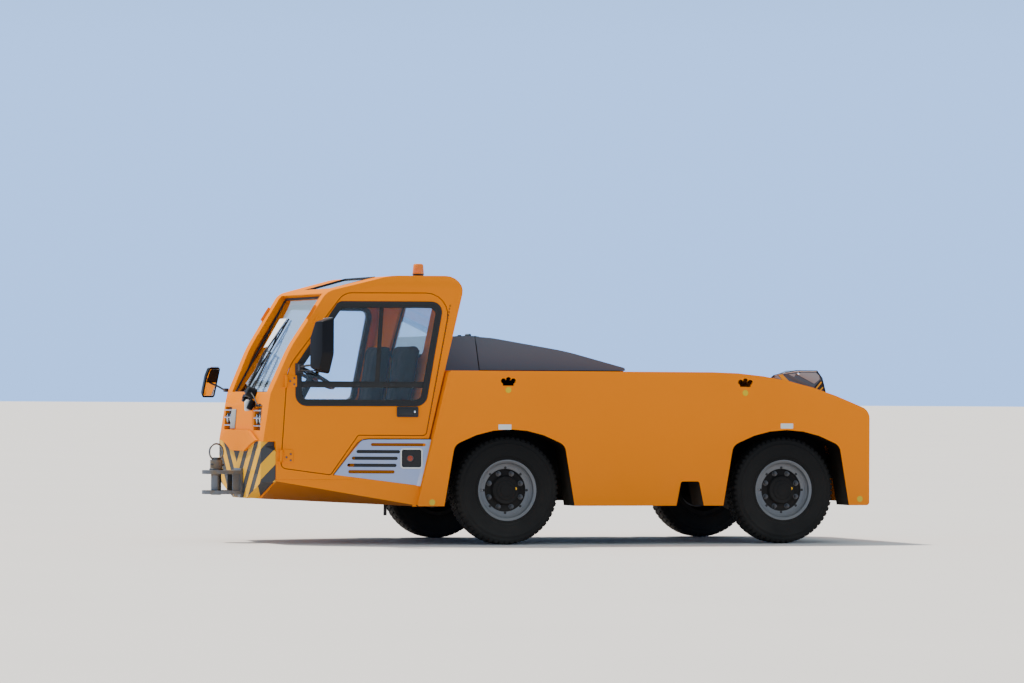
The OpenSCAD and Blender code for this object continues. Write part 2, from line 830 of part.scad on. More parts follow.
// Front coupling with its pin
plate_t = 30;
mount_t = 20;
mount_half = 105;
mount_z = 350;
mount_h = 225;
coupling_pin_x = 2460;
coupling_tip_x = 2570;
coupling_half = 110;
top_plate_z = jaw_z + jaw_h / 2;
low_plate_z = jaw_z - jaw_h / 2 - plate_t;
mount_face_x = bumper_face_x + face_gap + mount_t;
module coupling_plate(z) {
    translate([0, 0, z]) difference() {
        union() {
            translate([mount_face_x - 2, -coupling_half, 0])
                cube([coupling_pin_x - mount_face_x + 2, 2 * coupling_half, plate_t]);
            translate([coupling_pin_x, 0, 0]) cylinder(r = coupling_half, h = plate_t, $fn = 64);
        }
        translate([coupling_pin_x, 0, -1]) cylinder(r = pin_d / 2 + 2, h = plate_t + 2, $fn = 64);
    }
}
gusset_ys = [-90, 75];
gusset_t = 15;
gusset_l = 60;
module front_coupling() {
    color(steel_grey) {
        translate([mount_face_x - mount_t, -mount_half, mount_z]) cube([mount_t, 2 * mount_half, mount_h]);
        coupling_plate(top_plate_z);
        coupling_plate(low_plate_z);
        for (y = gusset_ys) translate([mount_face_x - 2, y, jaw_z - jaw_h / 2])
            cube([gusset_l, gusset_t, jaw_h]);
    }
}
pin_head_r = 48;
pin_head_h = 80;
pin_tail = 6;
ring_r = 64;
ring_rod_r = 7;
ring_turn = 20;
module coupling_pin() {
    head_z = top_plate_z + plate_t + fit_gap;
    tail_z = low_plate_z - pin_tail;
    color(steel_grey) translate([coupling_pin_x, 0, 0]) {
        translate([0, 0, tail_z]) cylinder(r = pin_d / 2, h = head_z - tail_z + 1, $fn = 64);
        translate([0, 0, head_z]) cylinder(r = pin_head_r, h = pin_head_h, $fn = 64);
        translate([0, 0, head_z + pin_head_h + ring_r - 4]) rotate([90, 0, ring_turn])
            rotate_extrude($fn = 64) translate([ring_r, 0]) circle(r = ring_rod_r, $fn = 16);
    }
}

// Rear coupling, sunk into the rear panel
rear_jaw_z = 480;
rear_jaw_h = 120;
rear_plate_t = 25;
rear_plate_half = 70;
rear_plate_l = 100;
rear_back_t = 12;
rear_bore_x = tail_x + 42;
hand_room = 160;
module rear_coupling() {
    color(steel_grey) {
        for (z = [rear_jaw_z - rear_jaw_h / 2 - rear_plate_t, rear_jaw_z + rear_jaw_h / 2]) difference() {
            translate([tail_x, -rear_plate_half, z])
                cube([rear_plate_l + 1, 2 * rear_plate_half, rear_plate_t]);
            translate([rear_bore_x, 0, z - 1]) cylinder(d = rear_bore_d, h = rear_plate_t + 2, $fn = 48);
        }
        translate([tail_x + rear_plate_l, -110, rear_jaw_z - 110]) cube([rear_back_t, 220, 220]);
    }
}

// Chassis
rail_in = 330;
rail_w = 70;
rail_z = 500;
rail_h = 200;
rail_end = tail_x + sheet_t + face_gap;
cross_z = rail_z + 20;
cross_h = 120;
// Cross members: [x of the rear face, length]
crosses = [[tail_x + rear_plate_l + rear_back_t + face_gap, 120], [-1040, 90], [-665, 90], [855, 90]];
outriggers = [-1150, 990];
// Plates on the outer faces of the rails, behind the wheel arches
arch_wall_t = 12;
arch_wall_rise = 60;
arch_wall_reach = 100;
module arch_wall(x) {
    top = arch_top_z + arch_wall_rise;
    slab([[x - arch_foot - arch_wall_reach, rail_z], [x + arch_foot, rail_z], [x + arch_shoulder, top],
        [x - arch_shoulder - arch_wall_reach, top]], rail_in + rail_w + arch_wall_t / 2, arch_wall_t);
}
module chassis_frame() {
    rail_rows = [
        [rail_end, rail_z], [cab_rear_x(rail_z) - face_gap, rail_z],
        [cab_rear_x(rail_z + rail_h) - face_gap, rail_z + rail_h], [rail_end, rail_z + rail_h]
    ];
    color(dark_grey) {
        both() slab(rail_rows, rail_in + rail_w / 2, rail_w);
        for (c = crosses) translate([c[0], -rail_in - 1, cross_z]) cube([c[1], 2 * rail_in + 2, cross_h]);
        both() for (x = [front_axle_x, rear_axle_x]) arch_wall(x);
        both() for (x = outriggers) translate([x - 40, rail_in + rail_w - 1, rail_z + 40])
            cube([80, side_y - side_t - face_gap - rail_in - rail_w + 1, 80]);
    }
}

engine_x = -480;
engine_half = 280;
module engine_block() {
    color(steel_grey) {
        translate([engine_x, -engine_half, rail_z + 140]) cube([900, 2 * engine_half, 620]);
        both() for (x = [engine_x + 80, engine_x + 740])
            translate([x, engine_half - 1, rail_z + rail_h + face_gap])
                cube([90, rail_in + 50 - engine_half, 40]);
    }
}

// Transmission behind the engine, on a cross member, with the shaft to the rear axle
gearbox_l = 470;
gearbox_z = cross_z + cross_h + face_gap;
shaft_r = 45;
nose_reach = 210;
nose_rise = 20;
module transmission() {
    shaft_from = [engine_x - gearbox_l + 5, 0, gearbox_z + 100];
    shaft_to = [rear_axle_x + nose_reach, 0, axle_z + nose_rise];
    shaft = shaft_to - shaft_from;
    color(steel_grey) {
        translate([engine_x - gearbox_l, -180, gearbox_z]) cube([gearbox_l - face_gap, 360, 320]);
        difference() {
            translate(shaft_from) rotate([0, atan2(shaft[0], shaft[2]), 0])
                cylinder(r = shaft_r, h = norm(shaft) + 30, $fn = 32);
            beyond([rear_axle_x + nose_reach + face_gap, 0, 0], [-1, 0, 0]);
        }
    }
}

// Axles and steering
spindle_r = 45;
kingpin_y = wheel_y - kingpin_offset;
yoke_h = 90;
yoke_r = 48;
kingpin_r = 22;
yoke_web_t = 30;
arm_x = -170;
arm_y = kingpin_y - 22;
arm_z = axle_z - 84;
arm_t = 24;
rod_r = 16;
rod_z = arm_z + arm_t + 3 + rod_r;
eye_r = 20;
beam_w = 90;
cylinder_r = 42;
module front_axle() {
    color(dark_grey) {
        translate([front_axle_x - beam_w / 2, -kingpin_y + 110, axle_z - beam_h / 2])
            cube([beam_w, 2 * kingpin_y - 220, beam_h]);
        both() translate([front_axle_x, kingpin_y, axle_z]) {
            for (z = [-yoke_h - 30, yoke_h]) {
                translate([0, 0, z]) cylinder(r = yoke_r, h = 30, $fn = 48);
                translate([-45, -125, z]) cube([90, 125, 30]);
            }
            translate([-beam_w / 2, -125, -yoke_h - 30]) cube([beam_w, yoke_web_t, 2 * yoke_h + 60]);
            translate([0, 0, -yoke_h - 10]) cylinder(r = kingpin_r, h = 2 * yoke_h + 20, $fn = 32);
        }
        both() translate([front_axle_x - 80, rail_in, axle_z + beam_h / 2 - 1])
            cube([160, rail_w, rail_z - face_gap - axle_z - beam_h / 2 + 1]);
        difference() {
            union() {
                translate([front_axle_x + arm_x, 0, rod_z]) rotate([90, 0, 0])
                    cylinder(r = cylinder_r, h = 400, center = true, $fn = 48);
                for (y = [-150, 110]) translate([front_axle_x + arm_x, y, rod_z - 12])
                    cube([-arm_x - beam_w / 2 + 1, 40, 24]);
            }
            translate([front_axle_x + arm_x, 0, rod_z]) rotate([90, 0, 0])
                cylinder(r = rod_r + fit_gap, h = 402, center = true, $fn = 48);
        }
    }
}

module steering_rod() {
    color(silver) translate([front_axle_x + arm_x, 0, rod_z]) {
        rotate([90, 0, 0]) cylinder(r = rod_r, h = 2 * arm_y - eye_r, center = true, $fn = 48);
        both() translate([0, arm_y, 0]) cylinder(r = eye_r, h = 2 * rod_r, center = true, $fn = 48);
    }
}

module knuckle_shape() {
    translate([front_axle_x, kingpin_y, axle_z]) {
        difference() {
            union() {
                cylinder(r = 46, h = 2 * yoke_h - 2, center = true, $fn = 48);
                rotate([-90, 0, 0]) cylinder(r = spindle_r, h = kingpin_offset + 66, $fn = 48);
                rotate([-90, 0, 0]) translate([0, 0, 20]) cylinder(r = 80, h = 34, $fn = 48);
            }
            cylinder(r = kingpin_r + fit_gap, h = big, center = true, $fn = 32);
        }
    }
    translate([front_axle_x + arm_x, arm_y, arm_z]) cylinder(r = eye_r, h = arm_t, $fn = 48);
    translate([front_axle_x + arm_x, arm_y - eye_r + 2, arm_z])
        cube([-arm_x - kingpin_r - 4, 2 * eye_r - 4, arm_t]);
}
module knuckle_left() { color(dark_grey) knuckle_shape(); }
module knuckle_right() { color(dark_grey) mirror([0, 1, 0]) knuckle_shape(); }

module rear_axle() {
    color(dark_grey) translate([rear_axle_x, 0, axle_z]) {
        rotate([90, 0, 0]) cylinder(r = 80, h = 2 * kingpin_y + 60, center = true, $fn = 48);
        rotate([90, 0, 0]) cylinder(r = spindle_r, h = 2 * (wheel_y + 66), center = true, $fn = 48);
        rotate([90, 0, 0]) rotate_extrude($fn = 64)
            polygon([[0, -150], [110, -150], [190, -60], [190, 60], [110, 150], [0, 150]]);
        translate([150, 0, nose_rise]) rotate([0, 90, 0]) cylinder(r = 70, h = nose_reach - 150, $fn = 32);
        both() translate([-80, rail_in, 60]) cube([160, rail_w, rail_z - face_gap - axle_z - 60]);
    }
}

// Wheels: profiles are rows of [radius, distance outwards from the middle of the tyre]
seat_r = rim_d / 2;
rim_lip_r = seat_r + 15;
tyre_bead_r = seat_r + 1;
hub_r = 110;
disc_r = 165;
disc_y = 40;
disc_t = 12;
cap_y = 94;
seat_y_half = 98;
lip_t = 10;
rim_rows = [
    [seat_r, -seat_y_half], [seat_r, seat_y_half], [rim_lip_r, seat_y_half],
    [rim_lip_r, seat_y_half + lip_t], [seat_r - 7, seat_y_half + lip_t], [seat_r - 12, 74],
    [seat_r - 24, 62], [disc_r + 18, 56], [disc_r, 52], [disc_r - 10, disc_y], [hub_r, disc_y],
    [hub_r - 4, 70], [hub_r - 14, 76], [hub_r - 34, 78], [50, cap_y - 6], [0, cap_y], [0, 68],
    [spindle_r + fit_gap, 68], [spindle_r + fit_gap, -56], [hub_r, -56], [hub_r, disc_y - disc_t],
    [disc_r - 12, disc_y - disc_t], [disc_r + 10, disc_y - 6], [seat_r - 14, -20],
    [seat_r - 14, -seat_y_half - lip_t], [rim_lip_r, -seat_y_half - lip_t], [rim_lip_r, -seat_y_half]
];
module rim_shape() {
    difference() {
        rotate_extrude($fn = 96) polygon(rim_rows);
        for (a = [0:45:315]) rotate([0, 0, a]) translate([stud_pcd / 2, 0, 0])
            cylinder(r = 9, h = 120, $fn = 16);
    }
}
module tyre_shape() {
    r = tyre_d / 2;
    w = tyre_w / 2;
    rotate_extrude($fn = 96) polygon([
        [tyre_bead_r, -90], [r - 148, -w + 6], [r - 100, -w], [r - 60, -w + 2], [r - 16, -w + 16],
        [r, -w + 40], [r, w - 40], [r - 16, w - 16], [r - 60, w - 2], [r - 100, w], [r - 148, w - 6],
        [tyre_bead_r, 90]
    ]);
}
module wheel_at(x, side) {
    translate([x, side * wheel_y, axle_z]) rotate([-90 * side, 0, 0]) children();
}
module rim_front_left() { color(steel_grey) wheel_at(front_axle_x, 1) rim_shape(); }
module rim_front_right() { color(steel_grey) wheel_at(front_axle_x, -1) rim_shape(); }
module rim_rear_left() { color(steel_grey) wheel_at(rear_axle_x, 1) rim_shape(); }
module rim_rear_right() { color(steel_grey) wheel_at(rear_axle_x, -1) rim_shape(); }
module tyre_front_left() { color(black) wheel_at(front_axle_x, 1) tyre_shape(); }
module tyre_front_right() { color(black) wheel_at(front_axle_x, -1) tyre_shape(); }
module tyre_rear_left() { color(black) wheel_at(rear_axle_x, 1) tyre_shape(); }
module tyre_rear_right() { color(black) wheel_at(rear_axle_x, -1) tyre_shape(); }

chassis_frame();
engine_block();
transmission();
front_axle();
steering_rod();
knuckle_left();
knuckle_right();
rear_axle();
rim_front_left();
rim_front_right();
rim_rear_left();
rim_rear_right();
tyre_front_left();
tyre_front_right();
tyre_rear_left();
tyre_rear_right();
side_panel_left();
side_panel_right();
deck();
rear_panel();
rear_hump();
hood_front();
hood_lid();
cab_base();
cab_frame();
cab_nose();
cab_roof();
cab_glass();
door_left();
door_right();
door_glass_left();
door_glass_right();
step_panels();
seats();
dashboard();
steering_wheel();
mirror_left();
mirror_right();
wiper();
lamps();
beacon();
bumper();
front_coupling();
coupling_pin();
rear_coupling();
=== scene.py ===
"""Aircraft pushback tractor: the finish of every surface, and the stage it stands on."""

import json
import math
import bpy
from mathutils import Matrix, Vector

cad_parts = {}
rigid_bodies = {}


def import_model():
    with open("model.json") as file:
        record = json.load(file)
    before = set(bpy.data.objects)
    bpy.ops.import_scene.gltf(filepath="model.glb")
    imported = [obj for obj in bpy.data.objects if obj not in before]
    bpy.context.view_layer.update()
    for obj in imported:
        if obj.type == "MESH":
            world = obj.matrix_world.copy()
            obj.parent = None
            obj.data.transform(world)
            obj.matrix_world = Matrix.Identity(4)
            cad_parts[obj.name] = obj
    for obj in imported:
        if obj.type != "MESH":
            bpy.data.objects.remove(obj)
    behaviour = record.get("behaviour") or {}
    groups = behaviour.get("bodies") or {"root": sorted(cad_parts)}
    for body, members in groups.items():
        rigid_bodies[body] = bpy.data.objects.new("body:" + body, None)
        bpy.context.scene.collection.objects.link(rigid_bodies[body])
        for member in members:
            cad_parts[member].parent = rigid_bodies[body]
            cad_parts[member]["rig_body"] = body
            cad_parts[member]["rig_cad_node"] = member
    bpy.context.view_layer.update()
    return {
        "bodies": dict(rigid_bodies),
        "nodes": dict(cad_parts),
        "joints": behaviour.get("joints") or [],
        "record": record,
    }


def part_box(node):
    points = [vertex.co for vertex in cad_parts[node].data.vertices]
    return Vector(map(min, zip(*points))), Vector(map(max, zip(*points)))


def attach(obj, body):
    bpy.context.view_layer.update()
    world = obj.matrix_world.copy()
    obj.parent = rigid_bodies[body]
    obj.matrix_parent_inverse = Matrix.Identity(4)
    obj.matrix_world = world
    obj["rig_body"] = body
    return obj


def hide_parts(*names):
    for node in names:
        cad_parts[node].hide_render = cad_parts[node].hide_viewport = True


bl_info = {
    "name": "Pushback Tractor",
    "version": (1, 0, 0),
    "blender": (4, 5, 0),
    "location": "View3D > Sidebar > Tractor",
    "description": "Dresses the pushback tractor's frame and sets its stage",
    "category": "Object",
}

import bmesh
import bpy
from mathutils import Matrix, Vector

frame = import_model()
NODES = frame["nodes"]

LEFT, RIGHT = 1, -1
SIDES = {"left": LEFT, "right": RIGHT}


# Settings that a user would change


def colour_property(name, description, default):
    return bpy.props.FloatVectorProperty(
        name=name, description=description, subtype="COLOR", default=default, min=0.0, max=1.0
    )


class PaintSettings(bpy.types.PropertyGroup):
    orange: colour_property("Body paint", "Colour of the body and cab panels", (0.8, 0.205, 0.0))
    hood_grey: colour_property("Hood paint", "Colour of the hood and the rear hump", (0.09, 0.118, 0.147))
    warning_yellow: colour_property("Warning yellow", "Colour of the pale stripes", (0.74, 0.37, 0.02))
    edge_radius: bpy.props.FloatProperty(
        name="Edge radius",
        description="Radius of the folded edges of the body panels",
        unit="LENGTH",
        default=0.003,
        min=0.0005,
        max=0.01,
    )


class StageSettings(bpy.types.PropertyGroup):
    floor_tone: colour_property("Floor", "Colour of the floor", (0.66, 0.615, 0.57))
    floor_radius: bpy.props.FloatProperty(
        name="Floor radius",
        description="Radius of the round floor",
        unit="LENGTH",
        default=400.0,
        min=20.0,
        max=1000.0,
    )
    key_power: bpy.props.FloatProperty(
        name="Key light",
        description="Strength of the sun-like key light",
        default=6.6,
        min=0.0,
        max=20.0,
    )


def settings(group):
    return getattr(bpy.context.scene, group)


# Frames on the tractor's surfaces: X across, Y outwards and Z up along the surface


def surface(origin, outward, up):
    """The frame of a flat surface, from a point on it, its normal and a direction up it."""
    y = Vector(outward).normalized()
    x = y.cross(Vector(up)).normalized()
    turn = Matrix((x, y, x.cross(y))).transposed().to_4x4()
    return Matrix.Translation(origin) @ turn


MIRROR = Matrix.Diagonal((1, -1, 1, 1))
HEAD_LAMP_PLACES = {
    side: surface((2.239, side * 0.437, 0.96), (1, 0, 0), (0, 0, 1)) for side in (LEFT, RIGHT)
}
CAB_SIDE = (
    Matrix.Translation((0.97, 1.02, 0.95))
    @ Matrix.Rotation(math.radians(-16.3), 4, "Z")
    @ Matrix.Rotation(math.radians(4.5), 4, "X")
)
BODY_SIDE = Matrix.Translation((0, 1.07, 0))
SCREEN = surface((2.18, 0, 1.157), (0.8651, 0, 0.5016), (-0.5016, 0, 0.8651))
COWL = surface((2.24, 0, 1.075), (0.075, 0, 0.034), (-0.034, 0, 0.075))
SKYLIGHT = surface((1.662, 0, 1.968), (0.097, 0, 0.356), (-0.356, 0, 0.097))
REAR_WALL = surface((0.8416, 0, 1.66), (-1, 0, -0.24), (-0.24, 0, 1))
REAR_FACE = surface((-2.57, 0, 0), (-1, 0, 0), (0, 0, 1))
FRONT_FACE = surface((2.25, 0, 0.96), (1, 0, 0.08), (-0.08, 0, 1))
UPRIGHT = surface((0, 0, 0), (0, 0, 1), (1, 0, 0))
# Stands a frame's Y up, for what a lathe turns round it
Y_UP = Matrix.Rotation(math.radians(90), 4, "X")


def on_side(frame, side):
    """The same frame on the left or on the right side."""
    return frame if side == LEFT else MIRROR @ frame


# Modelling helpers: each one starts from a primitive and works on the active object


def only(obj):
    """Leaves obj selected and active, with everything else deselected."""
    if bpy.context.mode != "OBJECT":
        bpy.ops.object.mode_set(mode="OBJECT")
    bpy.ops.object.select_all(action="DESELECT")
    obj.select_set(True)
    bpy.context.view_layer.objects.active = obj


def start():
    """Leaves object mode with nothing selected, ready for a new primitive."""
    if bpy.context.mode != "OBJECT":
        bpy.ops.object.mode_set(mode="OBJECT")
    bpy.ops.object.select_all(action="DESELECT")


def added(name="part"):
    """Names the primitive that was just added and leaves it alone selected."""
    obj = bpy.context.active_object
    obj.name = name
    obj.data.name = name
    only(obj)
    return obj


def outwards(obj):
    """Turns every face of a closed mesh outwards."""
    only(obj)
    bpy.ops.object.mode_set(mode="EDIT")
    bpy.ops.mesh.select_all(action="SELECT")
    bpy.ops.mesh.remove_doubles(threshold=0.00001)
    bpy.ops.mesh.normals_make_consistent(inside=False)
    bpy.ops.object.mode_set(mode="OBJECT")
    return obj


def apply_place(obj, matrix=None):
    """Puts the object's place into its mesh, after an optional change of frame."""
    if matrix is not None:
        obj.matrix_world = matrix @ obj.matrix_world
    mirrored = obj.matrix_world.determinant() < 0
    only(obj)
    bpy.ops.object.transform_apply(location=True, rotation=True, scale=True)
    return outwards(obj) if mirrored else obj


def box(low, high, matrix=None, soft=0.0):
    """A box between two corners, with its edges rounded where soft is given."""
    start()
    bpy.ops.mesh.primitive_cube_add(size=1)
    obj = added()
    low, high = Vector(low), Vector(high)
    obj.location = (low + high) / 2
    obj.scale = high - low
    apply_place(obj)
    apply_place(obj, matrix)
    return bevel_edges(obj, soft) if soft else obj


def rod(base, tip, radius, sides=24, tip_radius=None, matrix=None, soft=0.0):
    """A round bar from base to tip, tapered where tip_radius is given."""
    base, tip = Vector(base), Vector(tip)
    start()
    bpy.ops.mesh.primitive_cone_add(
        vertices=sides,
        radius1=radius,
        radius2=radius if tip_radius is None else tip_radius,
        depth=(tip - base).length,
    )
    obj = added()
    obj.rotation_mode = "QUATERNION"
    obj.rotation_quaternion = (tip - base).to_track_quat("Z", "Y")
    obj.location = (base + tip) / 2
    apply_place(obj)
    apply_place(obj, matrix)
    return bevel_edges(obj, soft) if soft else obj


def bolt(base, tip, matrix=None, radius=0.0085):
    """A six-sided bolt head."""
    return rod(base, tip, radius, 6, matrix=matrix, soft=0.001)


def rectangle(left, low, right, high, radius=0.0):
    """Rows of (across, up, radius) of a rectangle."""
    return [(left, low, radius), (right, low, radius), (right, high, radius), (left, high, radius)]


def moved(rows, distance):
    """Rows of (across, up, radius), anticlockwise, moved inwards by a distance."""
    result = []
    for i, (x, z, radius) in enumerate(rows):
        before = Vector((x - rows[i - 1][0], z - rows[i - 1][1])).normalized()
        after_row = rows[(i + 1) % len(rows)]
        after = Vector((after_row[0] - x, after_row[1] - z)).normalized()
        turn = before.x * after.y - before.y * after.x
        left = Vector((-before.y - after.y, before.x + after.x)) / (1 + before.dot(after))
        grown = radius - math.copysign(distance, turn) if radius else 0.0
        result.append((x + distance * left.x, z + distance * left.y, max(0.0, grown)))
    return result


def outline(rows, steps):
    """A flat face in the XZ plane with its corners rounded, left in edit mode and selected."""
    start()
    bpy.ops.mesh.primitive_circle_add(vertices=len(rows), fill_type="NGON")
    obj = added()
    for vertex, row in zip(obj.data.vertices, rows):
        vertex.co = (row[0], 0.0, row[1])
    bpy.ops.object.mode_set(mode="EDIT")
    bpy.ops.mesh.select_mode(type="VERT")
    for x, z, radius in rows:
        if radius <= 0:
            continue
        bpy.ops.mesh.select_all(action="DESELECT")
        mesh = bmesh.from_edit_mesh(obj.data)
        corner = min(mesh.verts, key=lambda v: (v.co.x - x) ** 2 + (v.co.z - z) ** 2)
        one, other = (edge.other_vert(corner).co - corner.co for edge in corner.link_edges)
        reach = radius / math.tan(one.angle(other) / 2)
        corner.select = True
        bmesh.update_edit_mesh(obj.data)
        bpy.ops.mesh.bevel(offset=reach, segments=steps, affect="VERTICES", clamp_overlap=True)
    bpy.ops.mesh.select_all(action="SELECT")
    return obj


def plate(rows, front, back, matrix, soft=0.0, steps=6):
    """A plate of the given outline, from front to back along its frame's Y."""
    obj = outline(rows, steps)
    bpy.ops.transform.translate(value=(0, front, 0))
    bpy.ops.mesh.extrude_region_move(TRANSFORM_OT_translate={"value": (0, back - front, 0)})
    outwards(obj)
    apply_place(obj, matrix)
    return bevel_edges(obj, soft) if soft else obj


def ring(rows, outset, inset, front, back, matrix, soft=0.0):
    """A flat ring along an outline, from outset outside it to inset inside it."""
    obj = outline(moved(rows, -outset), 6)
    bpy.ops.mesh.inset(thickness=outset + inset)
    bpy.ops.mesh.delete(type="FACE")
    bpy.ops.mesh.select_all(action="SELECT")
    bpy.ops.transform.translate(value=(0, front, 0))
    bpy.ops.mesh.extrude_region_move(TRANSFORM_OT_translate={"value": (0, back - front, 0)})
    outwards(obj)
    apply_place(obj, matrix)
    return bevel_edges(obj, soft) if soft else obj


def lathe(profile, matrix=None, steps=64):
    """A closed profile of (radius, along) turned round its frame's Y."""
    start()
    bpy.ops.mesh.primitive_circle_add(vertices=len(profile), fill_type="NOTHING")
    obj = added()
    for vertex, (radius, along) in zip(obj.data.vertices, profile):
        vertex.co = (radius, along, 0.0)
    bpy.ops.object.mode_set(mode="EDIT")
    bpy.ops.mesh.select_all(action="SELECT")
    bpy.ops.mesh.spin(
        steps=steps, angle=math.tau, center=(0, 0, 0), axis=(0, 1, 0), use_auto_merge=True
    )
    bpy.ops.mesh.select_all(action="SELECT")
    bpy.ops.mesh.remove_doubles(threshold=0.00002)
    bpy.ops.mesh.dissolve_degenerate()
    outwards(obj)
    return apply_place(obj, matrix)


def tube(points, radius, matrix=None, sides=10, smooth_path=True):
    """A round bar or hose along a path of points."""
    start()
    bpy.ops.curve.primitive_nurbs_path_add()
    obj = bpy.context.active_object
    curve = obj.data
    curve.splines.clear()
    spline = curve.splines.new("NURBS" if smooth_path else "POLY")
    spline.points.add(len(points) - 1)
    for point, place in zip(spline.points, points):
        point.co = (*place, 1.0)
    if smooth_path:
        spline.order_u = 3
        spline.use_endpoint_u = True
        spline.resolution_u = 8
    curve.dimensions = "3D"
    curve.bevel_depth = radius
    curve.bevel_resolution = max(0, sides // 4 - 1)
    curve.use_fill_caps = True
    only(obj)
    bpy.ops.object.convert(target="MESH")
    obj = added()
    outwards(obj)
    apply_place(obj, matrix)
    return smooth(obj, 50)


def wire(points, radius, matrix):
    """A thin bar that turns sharply at its points."""
    return tube(points, radius, matrix, 8, smooth_path=False)


def bevel_edges(obj, width, segments=2, angle=30.0, clean=False):
    """Rounds the edges that are sharper than the angle, with a Bevel modifier that is applied."""
    only(obj)
    rounding = obj.modifiers.new("Rounding", "BEVEL")
    rounding.width = width
    rounding.segments = segments
    rounding.limit_method = "ANGLE"
    rounding.angle_limit = math.radians(angle)
    rounding.harden_normals = clean
    bpy.ops.object.modifier_apply(modifier=rounding.name)
    return obj


def select_faces(obj, wanted):
    """Opens obj in edit mode with only the faces selected whose middle and normal are wanted."""
    only(obj)
    bpy.ops.object.mode_set(mode="EDIT")
    bpy.ops.mesh.select_mode(type="FACE")
    bpy.ops.mesh.select_all(action="DESELECT")
    mesh = bmesh.from_edit_mesh(obj.data)
    for face in mesh.faces:
        if wanted(face.calc_center_median(), face.normal):
            face.select_set(True)
    bmesh.update_edit_mesh(obj.data)


def smooth(obj, angle=35.0):
    only(obj)
    bpy.ops.object.shade_smooth_by_angle(angle=math.radians(angle))
    return obj


def joined(name, parts):
    """Joins several meshes into one."""
    if len(parts) > 1:
        start()
        for part in parts:
            part.select_set(True)
        bpy.context.view_layer.objects.active = parts[0]
        bpy.ops.object.join()
    else:
        only(parts[0])
    return added(name)


def copies(part, matrices):
    """Copies of a finished part at several places, joined into one mesh."""
    made = []
    for matrix in matrices:
        only(part)
        bpy.ops.object.duplicate()
        made.append(apply_place(bpy.context.active_object, matrix))
    only(part)
    bpy.ops.object.delete()
    return joined("copies", made)


def again(obj, name, matrix):
    """A copy of a finished piece in another place, with its own mesh and materials."""
    only(obj)
    bpy.ops.object.duplicate()
    return apply_place(added(name), matrix)


def paint(obj, *materials):
    obj.data.materials.clear()
    for material in materials:
        obj.data.materials.append(material)
    return obj


def second_finish(obj, finish, wanted):
    """Gives a second material to the faces whose middle and normal are wanted."""
    obj.data.materials.append(MATERIALS[finish])
    for face in obj.data.polygons:
        if wanted(face.center, face.normal):
            face.material_index = 1


def fit(obj, finish, carrier, nodes=(), slot=None, angle=35.0):
    """Gives a finished piece its material, the body of the node that carries it, and the nodes it stands for.
    The slot argument is not used."""
    if finish is not None:
        paint(obj, MATERIALS[finish])
    if angle:
        smooth(obj, angle)
    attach(obj, NODES[carrier]["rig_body"])
    if nodes:
        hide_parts(*nodes)
    return obj


def build(name, finish, carrier, *parts, **rest):
    """Joins parts into one named piece and fits it."""
    return fit(joined(name, parts), finish, carrier, **rest)


def slot_of(node):
    rows = frame["record"]["subparts"]
    return next(row["material_slot"] for row in rows if row["node"] == node)


def copy_of(node, name):
    """A merged copy of a CAD node's mesh, with its flat faces made whole."""
    only(NODES[node])
    bpy.ops.object.duplicate()
    obj = added(name)
    obj.parent = None
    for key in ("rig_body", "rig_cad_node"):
        if key in obj:
            del obj[key]
    bpy.ops.object.mode_set(mode="EDIT")
    bpy.ops.mesh.select_all(action="SELECT")
    bpy.ops.mesh.remove_doubles(threshold=0.00005)
    bpy.ops.mesh.dissolve_limited(angle_limit=math.radians(0.6))
    bpy.ops.object.mode_set(mode="OBJECT")
    if obj.data.has_custom_normals:
        bpy.ops.mesh.customdata_custom_splitnormals_clear()
    return obj


def dress(node, finish, width):
    """Stands a copy of a CAD node with rounded edges in for it."""
    obj = copy_of(node, "dressed_" + node)
    smooth(obj, 28)
    bevel_edges(obj, width, angle=25.0, clean=True)
    return fit(obj, finish, node, [node], slot_of(node), angle=0)


# Shader node groups shared by the materials


class Graph:
    """A node tree with short calls for adding and linking nodes."""

    def __init__(self, tree):
        self.tree = tree

    def node(self, kind, **values):
        node = self.tree.nodes.new(kind)
        for key, value in values.items():
            if hasattr(node, key):
                setattr(node, key, value)
            else:
                node.inputs[key.replace("_", " ")].default_value = value
        return node

    def link(self, source, target):
        self.tree.links.new(source, target)

    def math(self, operation, a, b=0.0, clamp=False):
        node = self.tree.nodes.new("ShaderNodeMath")
        node.operation = operation
        node.use_clamp = clamp
        for socket, value in zip(node.inputs, (a, b)):
            if isinstance(value, (int, float)):
                socket.default_value = value
            else:
                self.link(value, socket)
        return node.outputs[0]

    def blend_colour(self, factor, a, b):
        node = self.tree.nodes.new("ShaderNodeMix")
        node.data_type = "RGBA"
        for socket, value in ((node.inputs[0], factor), (node.inputs[6], a), (node.inputs[7], b)):
            if isinstance(value, (int, float)):
                socket.default_value = value
            elif isinstance(value, (tuple, list)):
                socket.default_value = (*value[:3], 1.0)
            else:
                self.link(value, socket)
        return node.outputs[2]


def new_group(name, numbers, outputs):
    """A group with a Vector input, named numbers with their defaults, and named outputs."""
    tree = bpy.data.node_groups.new(name, "ShaderNodeTree")
    tree.interface.new_socket("Vector", in_out="INPUT", socket_type="NodeSocketVector")
    for label, value in numbers.items():
        socket = tree.interface.new_socket(label, in_out="INPUT", socket_type="NodeSocketFloat")
        socket.default_value = value
    for label in outputs:
        tree.interface.new_socket(label, in_out="OUTPUT", socket_type="NodeSocketFloat")
    graph = Graph(tree)
    start = tree.nodes.new("NodeGroupInput")
    end = tree.nodes.new("NodeGroupOutput")
    return graph, start.outputs, end.inputs


